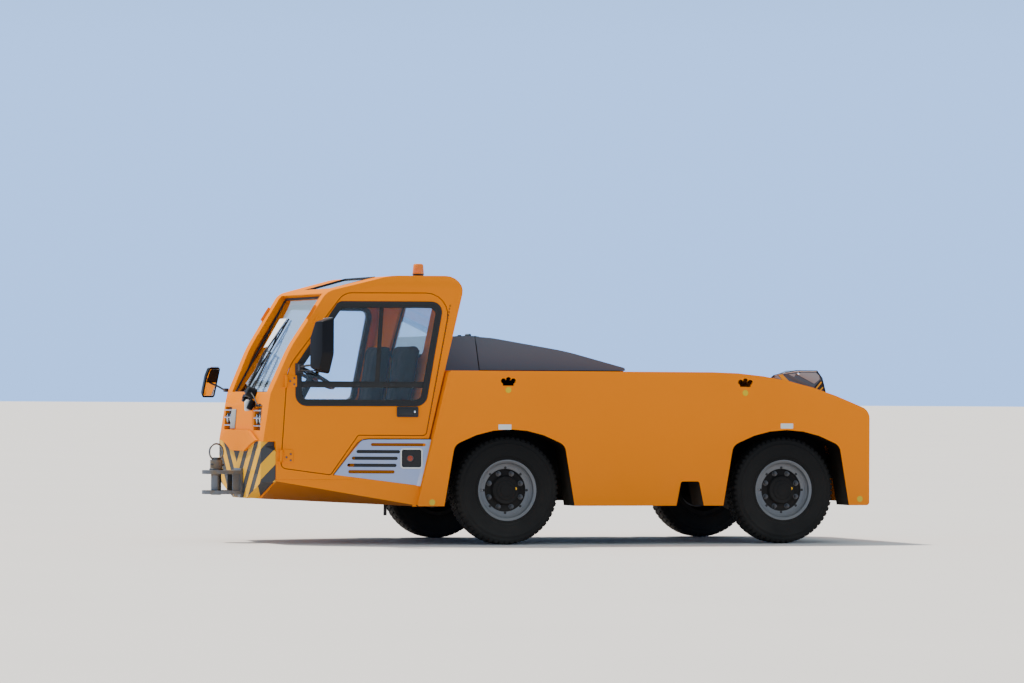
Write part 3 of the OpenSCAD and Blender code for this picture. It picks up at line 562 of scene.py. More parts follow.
def make_surface_group():
    """Slow and fine variation of a painted or moulded surface."""
    graph, given, out = new_group(
        "Surface Variation",
        {"Cloud Scale": 1.2, "Grain Scale": 420.0, "Roughness": 0.35, "Spread": 0.08},
        ["Cloud", "Roughness", "Grain"],
    )
    cloud = graph.node("ShaderNodeTexNoise", Detail=4.0)
    grain = graph.node("ShaderNodeTexNoise", Detail=2.0)
    graph.link(given["Vector"], cloud.inputs["Vector"])
    graph.link(given["Vector"], grain.inputs["Vector"])
    graph.link(given["Cloud Scale"], cloud.inputs["Scale"])
    graph.link(given["Grain Scale"], grain.inputs["Scale"])
    centred = graph.math("SUBTRACT", cloud.outputs["Fac"], 0.5)
    spread = graph.math("MULTIPLY", centred, given["Spread"])
    graph.link(cloud.outputs["Fac"], out["Cloud"])
    graph.link(graph.math("ADD", given["Roughness"], spread, clamp=True), out["Roughness"])
    graph.link(grain.outputs["Fac"], out["Grain"])
    return graph.tree


def make_dust_group():
    """Road dust in patches that thicken towards the ground."""
    graph, given, out = new_group("Road Dust", {"Amount": 0.5, "Height": 0.7}, ["Dust"])
    split = graph.node("ShaderNodeSeparateXYZ")
    graph.link(given["Vector"], split.inputs[0])
    low = graph.math("DIVIDE", split.outputs["Z"], given["Height"])
    low = graph.math("SUBTRACT", 1.0, low, clamp=True)
    low = graph.math("POWER", low, 1.6)
    patches = graph.node("ShaderNodeTexNoise", Scale=3.1, Detail=6.0)
    graph.link(given["Vector"], patches.inputs["Vector"])
    rough = graph.math("MULTIPLY", patches.outputs["Fac"], 1.5)
    dust = graph.math("MULTIPLY", low, rough)
    graph.link(graph.math("MULTIPLY", dust, given["Amount"], clamp=True), out["Dust"])
    return graph.tree


def make_brush_group():
    """Fine lines along X of the given vector, as brushing or rolling leaves."""
    graph, given, out = new_group("Brushed Lines", {"Stretch": 40.0}, ["Lines"])
    split = graph.node("ShaderNodeSeparateXYZ")
    graph.link(given["Vector"], split.inputs[0])
    merged = graph.node("ShaderNodeCombineXYZ")
    graph.link(graph.math("DIVIDE", split.outputs["X"], given["Stretch"]), merged.inputs["X"])
    graph.link(graph.math("DIVIDE", split.outputs["Y"], given["Stretch"]), merged.inputs["Y"])
    graph.link(split.outputs["Z"], merged.inputs["Z"])
    noise = graph.node("ShaderNodeTexNoise", Scale=900.0, Detail=3.0)
    graph.link(merged.outputs[0], noise.inputs["Vector"])
    graph.link(noise.outputs["Fac"], out["Lines"])
    return graph.tree


def group_node(graph, name, **values):
    node = graph.tree.nodes.new("ShaderNodeGroup")
    node.node_tree = bpy.data.node_groups[name]
    for key, value in values.items():
        node.inputs[key.replace("_", " ")].default_value = value
    return node


def new_material(name):
    material = bpy.data.materials.new(name)
    material.use_nodes = True
    graph = Graph(material.node_tree)
    shader = material.node_tree.nodes["Principled BSDF"]
    place = graph.node("ShaderNodeTexCoord")
    return material, graph, shader, place.outputs["Object"]


def bump(graph, shader, height, strength, distance):
    node = graph.node("ShaderNodeBump", Strength=strength, Distance=distance)
    graph.link(height, node.inputs["Height"])
    graph.link(node.outputs["Normal"], shader.inputs["Normal"])


DUST_TONE = (0.42, 0.36, 0.29)


def darker(colour, share):
    return tuple(channel * share for channel in colour)


def paint_material(name, colour, roughness=0.32, coat=0.05, dust=0.06, metallic=0.0):
    """Sprayed paint: orange peel, faint colour drift, and dust low down."""
    material, graph, shader, vector = new_material(name)
    surface = group_node(graph, "Surface Variation", Roughness=roughness, Spread=0.1, Grain_Scale=260.0)
    dirt = group_node(graph, "Road Dust", Amount=dust, Height=0.75)
    graph.link(vector, surface.inputs["Vector"])
    graph.link(vector, dirt.inputs["Vector"])
    tone = graph.blend_colour(surface.outputs["Cloud"], darker(colour, 0.9), tuple(colour))
    tone = graph.blend_colour(dirt.outputs["Dust"], tone, DUST_TONE)
    graph.link(tone, shader.inputs["Base Color"])
    worn = graph.math("MULTIPLY", dirt.outputs["Dust"], 0.5)
    rough = graph.math("ADD", surface.outputs["Roughness"], worn, clamp=True)
    graph.link(rough, shader.inputs["Roughness"])
    shader.inputs["Metallic"].default_value = metallic
    shader.inputs["Specular IOR Level"].default_value = 0.0
    shader.inputs["Coat Weight"].default_value = coat
    shader.inputs["Coat Roughness"].default_value = 0.1
    bump(graph, shader, surface.outputs["Grain"], 0.012, 0.001)
    return material


def plastic_material(name, colour, roughness, grain, grain_scale=900.0, dust=0.05, specular=0.35):
    """Moulded plastic or rubber with a fine grain."""
    material, graph, shader, vector = new_material(name)
    surface = group_node(
        graph, "Surface Variation", Roughness=roughness, Spread=0.15, Grain_Scale=grain_scale
    )
    dirt = group_node(graph, "Road Dust", Amount=dust, Height=0.9)
    graph.link(vector, surface.inputs["Vector"])
    graph.link(vector, dirt.inputs["Vector"])
    tone = graph.blend_colour(surface.outputs["Cloud"], darker(colour, 0.8), colour)
    tone = graph.blend_colour(dirt.outputs["Dust"], tone, DUST_TONE)
    graph.link(tone, shader.inputs["Base Color"])
    graph.link(surface.outputs["Roughness"], shader.inputs["Roughness"])
    shader.inputs["Specular IOR Level"].default_value = specular
    bump(graph, shader, surface.outputs["Grain"], grain, 0.0006)
    return material


def metal_material(name, colour, roughness, lines, stretch=40.0, stain=None, stain_share=0.0):
    """Bare metal with brushed lines, and stains where given."""
    material, graph, shader, vector = new_material(name)
    brush = group_node(graph, "Brushed Lines", Stretch=stretch)
    surface = group_node(graph, "Surface Variation", Roughness=roughness, Spread=0.25, Cloud_Scale=9.0)
    graph.link(vector, brush.inputs["Vector"])
    graph.link(vector, surface.inputs["Vector"])
    tone = graph.blend_colour(brush.outputs["Lines"], darker(colour, 0.82), colour)
    shader.inputs["Metallic"].default_value = 1.0
    if stain is not None:
        cloud = graph.math("SUBTRACT", surface.outputs["Cloud"], 0.62 - stain_share)
        mask = graph.math("MULTIPLY", cloud, 9.0, clamp=True)
        tone = graph.blend_colour(mask, tone, stain)
        dull = graph.math("MULTIPLY", mask, 0.35)
        rough = graph.math("ADD", surface.outputs["Roughness"], dull, clamp=True)
        graph.link(rough, shader.inputs["Roughness"])
        graph.link(graph.math("SUBTRACT", 1.0, mask, clamp=True), shader.inputs["Metallic"])
    else:
        graph.link(surface.outputs["Roughness"], shader.inputs["Roughness"])
    graph.link(tone, shader.inputs["Base Color"])
    bump(graph, shader, brush.outputs["Lines"], lines, 0.0005)
    return material


def glass_material(name, tint, roughness=0.02, gloss=0.0, clear=1.0):
    """Window glass: clear, slightly tinted, with a faint film of dust."""
    material, graph, shader, vector = new_material(name)
    film = graph.node("ShaderNodeTexNoise", Scale=6.0, Detail=5.0)
    graph.link(vector, film.inputs["Vector"])
    tone = graph.blend_colour(film.outputs["Fac"], tint, darker(tint, 0.94))
    graph.link(tone, shader.inputs["Base Color"])
    haze = graph.math("MULTIPLY", film.outputs["Fac"], 0.04)
    graph.link(graph.math("ADD", haze, roughness), shader.inputs["Roughness"])
    shader.inputs["Transmission Weight"].default_value = clear
    shader.inputs["IOR"].default_value = 1.45
    shader.inputs["Coat Weight"].default_value = gloss
    shader.inputs["Coat IOR"].default_value = 2.0
    return material


# Finishes. Paints: name, colour, roughness, coat, dust, metallic
PAINTS = {
    "chassis": ("chassis_paint", (0.02, 0.02, 0.021), 0.55, 0.0, 0.6),
    "dark_stripe": ("warning_dark_paint", (0.055, 0.057, 0.062), 0.45, 0.1),
    "rim": ("rim_silver_paint", (0.15, 0.155, 0.165), 0.42, 0.1, 0.2, 0.4),
    "disc": ("wheel_disc_paint", (0.013, 0.013, 0.014), 0.5, 0.0, 0.12),
    "pale_grey": ("pale_grey_paint", (0.3, 0.31, 0.32), 0.5, 0.0),
    # A white sheet painted as a bright reflection on the windscreen
    "card": ("blank_card", (0.86, 0.88, 0.92), 0.6, 0.0, 0.0),
    "label": ("blank_label", (0.62, 0.64, 0.62), 0.5, 0.0, 0.3),
    "sticker": ("round_sticker", (0.6, 0.42, 0.02), 0.45, 0.1, 0.2),
    # Near black painted as shade on the side panels' arch faces, inner faces and faces that look down
    "underseal": ("underseal", (0.012, 0.009, 0.007), 0.8, 0.0, 0.25),
    # Darker orange painted as shade, under the cab base and behind the step panels' slots
    "shaded_orange": ("shaded_orange_paint", (0.27, 0.078, 0.003), 0.6, 0.05, 0.2),
}
# Name, colour, roughness, grain, grain scale, dust, specular
PLASTICS = {
    "rubber": ("black_rubber", (0.012, 0.012, 0.013), 0.62, 0.2),
    "plastic": ("black_plastic", (0.016, 0.016, 0.018), 0.42, 0.3),
    "trim": ("grey_trim_plastic", (0.09, 0.095, 0.105), 0.6, 0.4),
    "white_plastic": ("white_bottle_plastic", (0.62, 0.64, 0.64), 0.35, 0.05),
    "tyre": ("tyre_rubber", (0.0045, 0.0045, 0.0048), 0.75, 0.5, 300.0, 0.06, 0.16),
    "fabric": ("seat_cloth", (0.02, 0.02, 0.023), 0.9, 0.8, 1500.0),
    "black": ("black_gloss_plastic", (0.005, 0.005, 0.007), 0.4, 0.1, 900.0, 0.05, 0.14),
    "lamp_orange": ("small_lamp_lens", (0.3, 0.045, 0.02), 0.25, 0.05),
}
# Name, colour, roughness, lines, stretch of the lines, stain, stained share
METALS = {
    "aluminium": ("brushed_aluminium", (0.4, 0.43, 0.56), 0.38, 0.12),
    "galvanized": ("galvanized_steel", (0.17, 0.175, 0.185), 0.5, 0.15, 2.0, (0.16, 0.12, 0.08), 0.12),
    "steel": ("bare_steel", (0.42, 0.41, 0.4), 0.48, 0.2, 4.0, (0.1, 0.085, 0.06), 0.1),
    "dark_steel": ("dark_steel", (0.1, 0.1, 0.105), 0.5, 0.1, 4.0),
    "mirror": ("mirror_glass", (0.82, 0.85, 0.87), 0.03, 0.0),
    "chrome": ("lamp_chrome", (0.85, 0.86, 0.88), 0.12, 0.0),
}
# Name, tint, roughness, gloss, clearness
GLASSES = {
    "glass": ("window_glass", (0.92, 0.96, 0.97)),
    "screen_glass": ("windscreen_glass", (0.9, 0.95, 0.97), 0.02, 1.0),
    "amber": ("amber_lens", (1.0, 0.34, 0.02), 0.15, 0.0, 0.45),
    "red": ("red_lens", (0.85, 0.03, 0.02), 0.12, 0.0, 0.5),
}


def make_materials():
    look = settings("tractor_paint")
    make_surface_group()
    make_dust_group()
    make_brush_group()
    made = {
        "orange": paint_material("orange_paint", look.orange),
        "hood": paint_material("hood_paint", look.hood_grey, 0.3, 0.25, 0.04),
        "yellow": paint_material("warning_yellow_paint", look.warning_yellow, 0.42, 0.15),
    }
    makers = paint_material, plastic_material, metal_material, glass_material
    for make, table in zip(makers, (PAINTS, PLASTICS, METALS, GLASSES)):
        made.update({finish: make(*row) for finish, row in table.items()})
    return made


MATERIALS = {}


# Pieces


class TRACTOR_OT_materials(bpy.types.Operator):
    """Builds the node groups and the materials"""

    bl_idname = "tractor.materials"
    bl_label = "Materials"

    def execute(self, context):
        MATERIALS.update(make_materials())
        return {"FINISHED"}


DRESSED = [
    # finish, edge radius in metres, CAD nodes
    ("orange", 0.002, "deck rear_panel"),
    ("orange", 0.003, "cab_base cab_frame cab_nose"),
    ("orange", 0.006, "cab_roof"),
    ("orange", 0.003, "door_left door_right"),
    ("hood", 0.006, "hood_front"),
    ("hood", 0.008, "hood_lid"),
    ("chassis", 0.004, "chassis_frame"),
    ("chassis", 0.01, "engine_block transmission"),
    ("chassis", 0.004, "front_axle rear_axle"),
    ("chassis", 0.003, "knuckle_left knuckle_right"),
    ("steel", 0.002, "steering_rod"),
    ("galvanized", 0.003, "front_coupling rear_coupling coupling_pin"),
    ("aluminium", 0.001, "step_panels"),
    ("trim", 0.01, "dashboard"),
    ("screen_glass", 0.001, "cab_glass"),
]
AXLES_X = (0.41, -1.87)
ARCH_HALF, ARCH_TOP = 0.56, 0.8
PANEL_FACE_Y, PANEL_PULL = 1.066, 0.0015
# The patch behind a door handle, in the cab side's frame
PATCH_X, PATCH_Z = (0.15, 0.33), (0.02, 0.12)


class TRACTOR_OT_panels(bpy.types.Operator):
    """Rounds the edges of the frame's own pieces and paints them"""

    bl_idname = "tractor.panels"
    bl_label = "Panels"

    def execute(self, context):
        for finish, width, nodes in DRESSED:
            for node in nodes.split():
                dress(node, finish, width)
        under = bpy.data.objects["dressed_cab_base"]
        # The cab base's faces that look down get darker orange: painted shade
        second_finish(under, "shaded_orange", lambda at, normal: normal.z < -0.15)
        for label, side in SIDES.items():
            self.handle_patch(label, side)
            self.side_panel(label, side)
        return {"FINISHED"}

    def handle_patch(self, label, side):
        """Blackens the door behind its handle."""
        to_side = on_side(CAB_SIDE, side).inverted()

        def behind(at, normal):
            x, y, z = to_side @ at
            return y > 0.0005 and PATCH_X[0] < x < PATCH_X[1] and PATCH_Z[0] < z < PATCH_Z[1]

        second_finish(bpy.data.objects["dressed_door_" + label], "plastic", behind)

    def side_panel(self, label, side):
        """Pulls the outer face in by a hair, and paints near-black shade on what looks inwards, down or into
        an arch.
        """
        panel = dress("side_panel_" + label, "orange", 0.003)
        for vertex in panel.data.vertices:
            if vertex.co.y * side > PANEL_FACE_Y:
                vertex.co.y -= side * PANEL_PULL

        # Faces that look into an arch, inwards or down get near-black painted shade
        def in_shade(at, normal):
            near = abs(normal.x) > 0.5 and at.z < ARCH_TOP and any(abs(at.x - x) < ARCH_HALF for x in AXLES_X)
            return near or normal.y * side < -0.3 or normal.z < -0.2

        second_finish(panel, "underseal", in_shade)


# Front weight: 45 degree stripes, measured along a face from its own edge

STRIPE_PERIOD = 0.237
STRIPE_START = -0.016
STRIPE_WIDTH = 0.115
STRIPE_LEVEL = 0.57
STRIPE_APEX_Y = -0.09
WEIGHT_EDGE = Vector((2.272, 0.62, 0.0))
WEIGHT_CHAMFER = Vector((-0.092, 0.066, 0.0)).normalized()


def on_chamfer(normal):
    return normal.x < 0.95


def stripe_place(point, side, chamfer):
    """How far along the stripes' row a point lies."""
    y = point.y if side == LEFT else 2 * STRIPE_APEX_Y - point.y
    edge = WEIGHT_EDGE.y if side == LEFT else WEIGHT_EDGE.y + 2 * STRIPE_APEX_Y
    if chamfer:
        y = edge + (Vector((point.x, y, 0)) - Vector((WEIGHT_EDGE.x, edge, 0))).dot(WEIGHT_CHAMFER)
    return y - (point.z - STRIPE_LEVEL)


def cut_stripes(obj, side, chamfer):
    """Cuts one side's faces along the edges of the stripes."""
    along = WEIGHT_CHAMFER.copy() if chamfer else Vector((0.0, 1.0, 0.0))
    edge = WEIGHT_EDGE.copy()
    if side == RIGHT:
        along.y *= -1
        edge.y *= -1
    level = edge + Vector((0, 0, STRIPE_LEVEL))
    first = stripe_place(level, side, chamfer)
    for step in range(-4, 8):
        for start_at in (STRIPE_START, STRIPE_START + STRIPE_WIDTH):
            select_faces(obj, lambda at, normal: (at.y > STRIPE_APEX_Y) == (side == LEFT)
                         and on_chamfer(normal) == chamfer)
            place = level + along * (start_at + step * STRIPE_PERIOD - first)
            bpy.ops.mesh.bisect(plane_co=place, plane_no=(along - Vector((0, 0, 1))).normalized())
            bpy.ops.object.mode_set(mode="OBJECT")


class TRACTOR_OT_front_weight(bpy.types.Operator):
    """Paints the front weight in stripes, with the raised plate in body colour"""

    bl_idname = "tractor.front_weight"
    bl_label = "Front weight"

    def execute(self, context):
        obj = copy_of("bumper", "striped_weight")
        bpy.ops.object.mode_set(mode="EDIT")
        bpy.ops.mesh.select_all(action="SELECT")
        bpy.ops.mesh.bisect(plane_co=(0, STRIPE_APEX_Y, 0), plane_no=(0, 1, 0))
        bpy.ops.object.mode_set(mode="OBJECT")
        for side in SIDES.values():
            for chamfer in (False, True):
                cut_stripes(obj, side, chamfer)
        paint(obj, MATERIALS["yellow"], MATERIALS["dark_stripe"], MATERIALS["orange"])
        for face in obj.data.polygons:
            side = LEFT if face.center.y > STRIPE_APEX_Y else RIGHT
            place = stripe_place(face.center, side, on_chamfer(face.normal)) - STRIPE_START
            face.material_index = 1 if place % STRIPE_PERIOD < STRIPE_WIDTH else 0
            if face.center.x > WEIGHT_EDGE.x + 0.0005:
                face.material_index = 2
        bevel_edges(obj, 0.004, clean=True)
        fit(obj, None, "bumper", ["bumper"], slot_of("bumper"), angle=0)
        return {"FINISHED"}


# Rear hump: rows on its outer face are (forwards, up)

HUMP_FACE = Matrix.Translation((0, 0.7, 0))
HUMP_SWEEP = 0.387
HUMP_REACH = 0.01
HUMP_REAR_X, HUMP_SWEEP_FROM, HUMP_SWEEP_OVER = -2.2, -2.25, 0.3
HUMP_EDGE = [
    (-2.338, 1.19), (-2.31, 1.298), (-2.266, 1.357), (-2.09, 1.357), (-1.902, 1.319), (-1.872, 1.294),
    (-1.872, 1.2),
]
# A pale line painted as the highlight along the top of the hump's rim
HUMP_GLINT = [(-2.262, 0.004, 1.3555), (-2.11, 0.004, 1.3545), (-1.99, 0.004, 1.337), (-1.905, 0.004, 1.318)]
HUMP_KNOB = [(0.0, -0.001), (0.011, -0.001), (0.012, 0.006), (0.008, 0.011), (0.0, 0.012)]
HUMP_KNOB_AT = (-2.108, 0, 1.333)
HUMP_MARKS = [
    # name, finish, thickness, rows
    ("yellow_band", "yellow", 0.003, [(-1.94, 1.322), (-1.974, 1.328), (-2.036, 1.269), (-1.974, 1.283)]),
    ("front_pane", "pale_grey", 0.003, [(-1.902, 1.307), (-1.937, 1.316), (-1.967, 1.287), (-1.914, 1.299)]),
    ("triangle", "pale_grey", 0.003, [(-2.025, 1.331), (-2.09, 1.335), (-2.069, 1.3)]),
    # Pale grey painted as the sky's reflection in the rear pane
    ("rear_pane", "pale_grey", 0.0045,
     [(-2.114, 1.32), (-2.127, 1.343), (-2.256, 1.343), (-2.286, 1.322), (-2.292, 1.292), (-2.244, 1.255)]),
    ("dark_band", "trim", 0.0035, [(-1.994, 1.325), (-2.018, 1.333), (-2.255, 1.225), (-2.226, 1.205)]),
    ("black_corner", "rubber", 0.0035, [(-2.241, 1.225), (-2.298, 1.285), (-2.322, 1.245), (-2.326, 1.2)]),
    ("corner_stripe", "yellow", 0.005, [(-2.256, 1.22), (-2.266, 1.212), (-2.308, 1.263), (-2.303, 1.275)]),
    ("corner_stripe_low", "yellow", 0.005,
     [(-2.29, 1.206), (-2.303, 1.202), (-2.321, 1.222), (-2.318, 1.232)]),
]


class TRACTOR_OT_hump(bpy.types.Operator):
    """Makes the rear hump with its trim frame, a painted highlight along its top, panes and bands, the rear
    pane pale as a painted reflection
    """

    bl_idname = "tractor.hump"
    bl_label = "Rear hump"

    def execute(self, context):
        obj = copy_of("rear_hump", "hump")
        for vertex in obj.data.vertices:
            share = min(1.0, max(0.0, (vertex.co.x - HUMP_SWEEP_FROM) / HUMP_SWEEP_OVER))
            if vertex.co.x < HUMP_REAR_X:
                vertex.co.x -= HUMP_REACH
            vertex.co.x -= HUMP_SWEEP * (0.7 - vertex.co.y) * share
        smooth(obj, 28)
        bevel_edges(obj, 0.006, angle=25.0, clean=True)
        fit(obj, "hood", "rear_hump", ["rear_hump"], slot_of("rear_hump"), angle=0)
        rim = wire([(x, 0.003, z) for x, z in HUMP_EDGE], 0.0055, HUMP_FACE)
        build("hump_rim", "rubber", "rear_hump", rim)
        # A pale line painted as the highlight along the rim's top
        build("hump_trim", "label", "rear_hump", wire(HUMP_GLINT, 0.0045, HUMP_FACE), slot="aluminium_sheet")
        for name, finish, thick, rows in HUMP_MARKS:
            mark = plate([(x, z, 0.003) for x, z in rows], thick, -0.001, HUMP_FACE, soft=0.0008)
            build("hump_" + name, finish, "rear_hump", mark)
        knob = lathe(HUMP_KNOB, HUMP_FACE @ Matrix.Translation(HUMP_KNOB_AT), 24)
        build("hump_knob", "chrome", "rear_hump", knob)
        return {"FINISHED"}


# Body details: places on the body's sides are (forwards, up)

STICKER_PLACES = [(0.426, 1.193), (-1.522, 1.179), (1.035, 0.33), (-2.489, 0.35)]
BLANK_PLATES = [(0.453, 0.908), (-1.871, 0.922)]
BLANK_HALF = (0.052, 0.02)
HOOD_SEAL_ROWS = [(-0.596, -0.686, 0.02), (0.596, -0.686, 0.02), (0.596, 0.54, 0.0), (-0.596, 0.54, 0.0)]
HOOD_HINGE_X, HOOD_HINGE_Y, HOOD_HINGE_Z = 0.548, 0.42, 1.619
PIN_X = 2.46


class TRACTOR_OT_body_details(bpy.types.Operator):
    """Stickers, blank plates, hood seal and hinges, the pin's nut and the drain pipe"""

    bl_idname = "tractor.body_details"
    bl_label = "Body details"

    def execute(self, context):
        across, up = BLANK_HALF
        for label, side in SIDES.items():
            carrier, face = "side_panel_" + label, on_side(BODY_SIDE, side)
            dots = [rod((x, -0.003, z), (x, -0.0002, z), 0.024, 40, matrix=face) for x, z in STICKER_PLACES]
            build("round_stickers_" + label, "sticker", carrier, *dots)
            blanks = [plate(rectangle(x - across, z - up, x + across, z + up, 0.004), 0.0, -0.003, face)
                      for x, z in BLANK_PLATES]
            build("blank_plates_" + label, "label", carrier, *blanks)
        build("hood_seal", "rubber", "deck", ring(HOOD_SEAL_ROWS, 0.0, 0.025, 1.3475, 1.338, UPRIGHT))
        for label, side in SIDES.items():
            self.hood_hinge(label, side)
        build("pin_nut", "dark_steel", "coupling_pin",
              rod((PIN_X, 0, 0.638), (PIN_X, 0, 0.658), 0.038, 6, 0.035, soft=0.002),
              rod((2.405, 0.03, 0.6), (2.515, 0.03, 0.606), 0.007, 12, soft=0.001),
              rod((PIN_X, 0, 0.5595), (PIN_X, 0, 0.572), 0.056, 32, 0.052, soft=0.002))
        build("drain_pipe", "rubber", "cab_base",
              rod((1.27, 0.6, 0.304), (1.27, 0.6, 0.219), 0.013, 20, soft=0.002))
        return {"FINISHED"}

    def hood_hinge(self, label, side):
        """One leaf with two barrels on the fixed hood, and one with a barrel on the lid."""
        x, y, z = HOOD_HINGE_X, side * HOOD_HINGE_Y, HOOD_HINGE_Z

        def barrel(low, high):
            return rod((x, y + low, z), (x, y + high, z), 0.0095, 20, soft=0.001)

        build("hood_hinge_leaf_" + label, "plastic", "hood_front",
              box((x + 0.004, y - 0.034, 1.604), (x + 0.094, y + 0.034, 1.6125), soft=0.002),
              barrel(-0.034, -0.012), barrel(0.012, 0.034),
              *(bolt((x + 0.07, y + off, 1.611), (x + 0.07, y + off, 1.62), radius=0.009)
                for off in (-0.02, 0.02)))
        build("hood_hinge_lid_" + label, "plastic", "hood_lid",
              box((x - 0.08, y - 0.03, 1.599), (x - 0.006, y + 0.03, 1.6105), soft=0.002),
              barrel(-0.0115, 0.0115))


# Step panels, in the cab side's frame

STEP_HOLE_ROWS = rectangle(0.128, -0.359, 0.287, -0.214, 0.03)
STEP_LAMP_AT = (0.218, 0, -0.285)
STEP_SHELL = [(0.0, -0.004), (0.026, -0.004), (0.026, 0.004), (0.022, 0.005), (0.021, 0.0005), (0.0, 0.0005)]
STEP_LENS = [(0.0, 0.0), (0.0205, 0.0), (0.0205, 0.003), (0.012, 0.006), (0.0, 0.007)]
# A black line painted as the shadow under the panels' top edge
STEP_SHADOW_LINE = [(0.052, -0.137), (0.54, -0.139), (0.585, -0.147), (0.623, -0.172), (0.806, -0.418)]
STEP_PLATES = [
    # name, finish, front, back, rounding, rows
    # The backing's darker orange and the black plates behind the middle slots and in the square hole are
    # painted shade
    ("step_backing_", "shaded_orange", -0.0075, -0.009, 0.0,
     [(0.13, -0.425, 0), (0.712, -0.415, 0), (0.6, -0.155, 0), (0.09, -0.155, 0)]),
    ("step_dark_", "rubber", -0.0045, -0.0065, 0.0,
     [(0.29, -0.358, 0), (0.648, -0.358, 0), (0.64, -0.216, 0), (0.29, -0.216, 0)]),
    ("hole_dark_", "rubber", -0.004, -0.007, 0.0, moved(STEP_HOLE_ROWS, -0.004)),
    ("step_tail_", "aluminium", 0.0048, 0.0002, 0.001,
     [(0.134, -0.5, 0), (0.17, -0.495, 0), (0.088, -0.137, 0), (0.052, -0.137, 0)]),
    ("cab_corner_", "orange", -0.0005, -0.0035, 0.0,
     [(0.162, -0.655, 0), (0.202, -0.655, 0), (0.168, -0.496, 0), (0.128, -0.502, 0)]),
]


class TRACTOR_OT_steps(bpy.types.Operator):
    """What shows through the step panels' slots and in the square hole, painted as shade, a painted shadow
    line along the panels' top, their trim, and the lamp in the square hole
    """

    bl_idname = "tractor.steps"
    bl_label = "Steps"

    def execute(self, context):
        for label, side in SIDES.items():
            place = on_side(CAB_SIDE, side)
            for name, finish, front, back, soft, rows in STEP_PLATES:
                build(name + label, finish, "step_panels", plate(rows, front, back, place, soft))
            rim = ring(STEP_HOLE_ROWS, 0.006, 0.005, 0.0075, 0.0, place, soft=0.0015)
            build("step_hole_rim_" + label, "label", "step_panels", rim, slot="aluminium_sheet")
            # Painted shadow line along the panels' top edge
            shadow_line = wire([(u, 0.004, v) for u, v in STEP_SHADOW_LINE], 0.0035, place)
            build("step_lip_" + label, "rubber", "step_panels", shadow_line)
            lamp = place @ Matrix.Translation(STEP_LAMP_AT)
            build("step_lamp_" + label, "dark_steel", "step_panels", lathe(STEP_SHELL, lamp, 32))
            build("step_lamp_lens_" + label, "lamp_orange", "step_panels", lathe(STEP_LENS, lamp, 32))
        return {"FINISHED"}


# Wheels: profiles are (radius, distance outwards from the middle of the tyre)

TYRE_PROFILE = [
    (0.223, 0.09), (0.236, 0.104), (0.243, 0.1085), (0.249, 0.1085), (0.252, 0.106), (0.262, 0.1095),
    (0.266, 0.1125), (0.27, 0.1125), (0.274, 0.1115), (0.3, 0.1165), (0.325, 0.1175), (0.35, 0.1165),
    (0.353, 0.1178), (0.357, 0.1178), (0.36, 0.1155), (0.38, 0.1105), (0.384, 0.1115), (0.39, 0.1095),
    (0.4035, 0.095), (0.4085, 0.08), (0.4095, 0.05),
]
TREAD_PITCHES = 58
TREAD_BLOCKS = [
    # low along, high along, share of the pitch, shift along the tread
    (-0.1, -0.06, 0.62, 0.0), (-0.053, -0.022, 0.8, 0.3), (-0.016, 0.016, 0.84, 0.6),
    (0.022, 0.053, 0.8, 0.3), (0.06, 0.1, 0.62, 0.0),
]
TREAD_TOP = 0.4194
TREAD_ROOT = 0.403
TREAD_SHOULDER = 0.099
RIM_PROFILE = [
    (0.2225, -0.098), (0.2225, 0.098), (0.2365, 0.0985), (0.2372, 0.104), (0.2345, 0.108), (0.229, 0.108),
    (0.2225, 0.103), (0.2155, 0.1), (0.2125, 0.094), (0.2105, 0.074), (0.204, 0.069), (0.2015, 0.064),
    (0.1955, 0.062), (0.1925, 0.0575), (0.185, 0.0565), (0.1825, 0.054), (0.168, 0.0525), (0.165, 0.05),
    (0.165, 0.036), (0.178, 0.034), (0.208, -0.02), (0.208, -0.108), (0.2365, -0.108), (0.2365, -0.098),
]
RIM_DARK_BELOW = 0.03
DISC_PROFILE = [
    (0.1648, 0.0505), (0.1605, 0.05), (0.156, 0.0435), (0.153, 0.04), (0.12, 0.0385),
    (0.118, 0.04), (0.114, 0.04), (0.114, 0.03), (0.153, 0.028), (0.1648, 0.036),
]
CAP_PROFILE = [
    (0.1138, -0.056), (0.1138, 0.04), (0.111, 0.0445), (0.108, 0.052), (0.107, 0.068), (0.104, 0.0735),
    (0.096, 0.076), (0.094, 0.074), (0.078, 0.075), (0.076, 0.079), (0.07, 0.0835), (0.05, 0.086),
    (0.048, 0.09), (0.042, 0.093), (0.0, 0.094), (0.0, 0.067), (0.0455, 0.067), (0.0455, -0.056),
]
VALVE_PATH = [(0.205, 0.06, 0), (0.203, 0.072, 0), (0.196, 0.086, 0)]
STUD_CIRCLE, HAND_HOLE_CIRCLE = 0.1375, 0.174
STUDS = 8
STUD_FACE = 0.039
WHEELS = {"front_left": LEFT, "front_right": RIGHT, "rear_left": LEFT, "rear_right": RIGHT}


def wheel_frame(wheel):
    """The frame of a wheel: Y outwards from the middle of its tyre."""
    low, high = (Vector(corner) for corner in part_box("tyre_" + wheel))
    at = (low + high) / 2
    at.y = abs(at.y)
    return on_side(Matrix.Translation(at), WHEELS[wheel])


def round_y(count, offset=0.0):
    """Turns about Y that space count copies evenly."""
    return [Matrix.Rotation(math.tau * (k + offset) / count, 4, "Y") for k in range(count)]


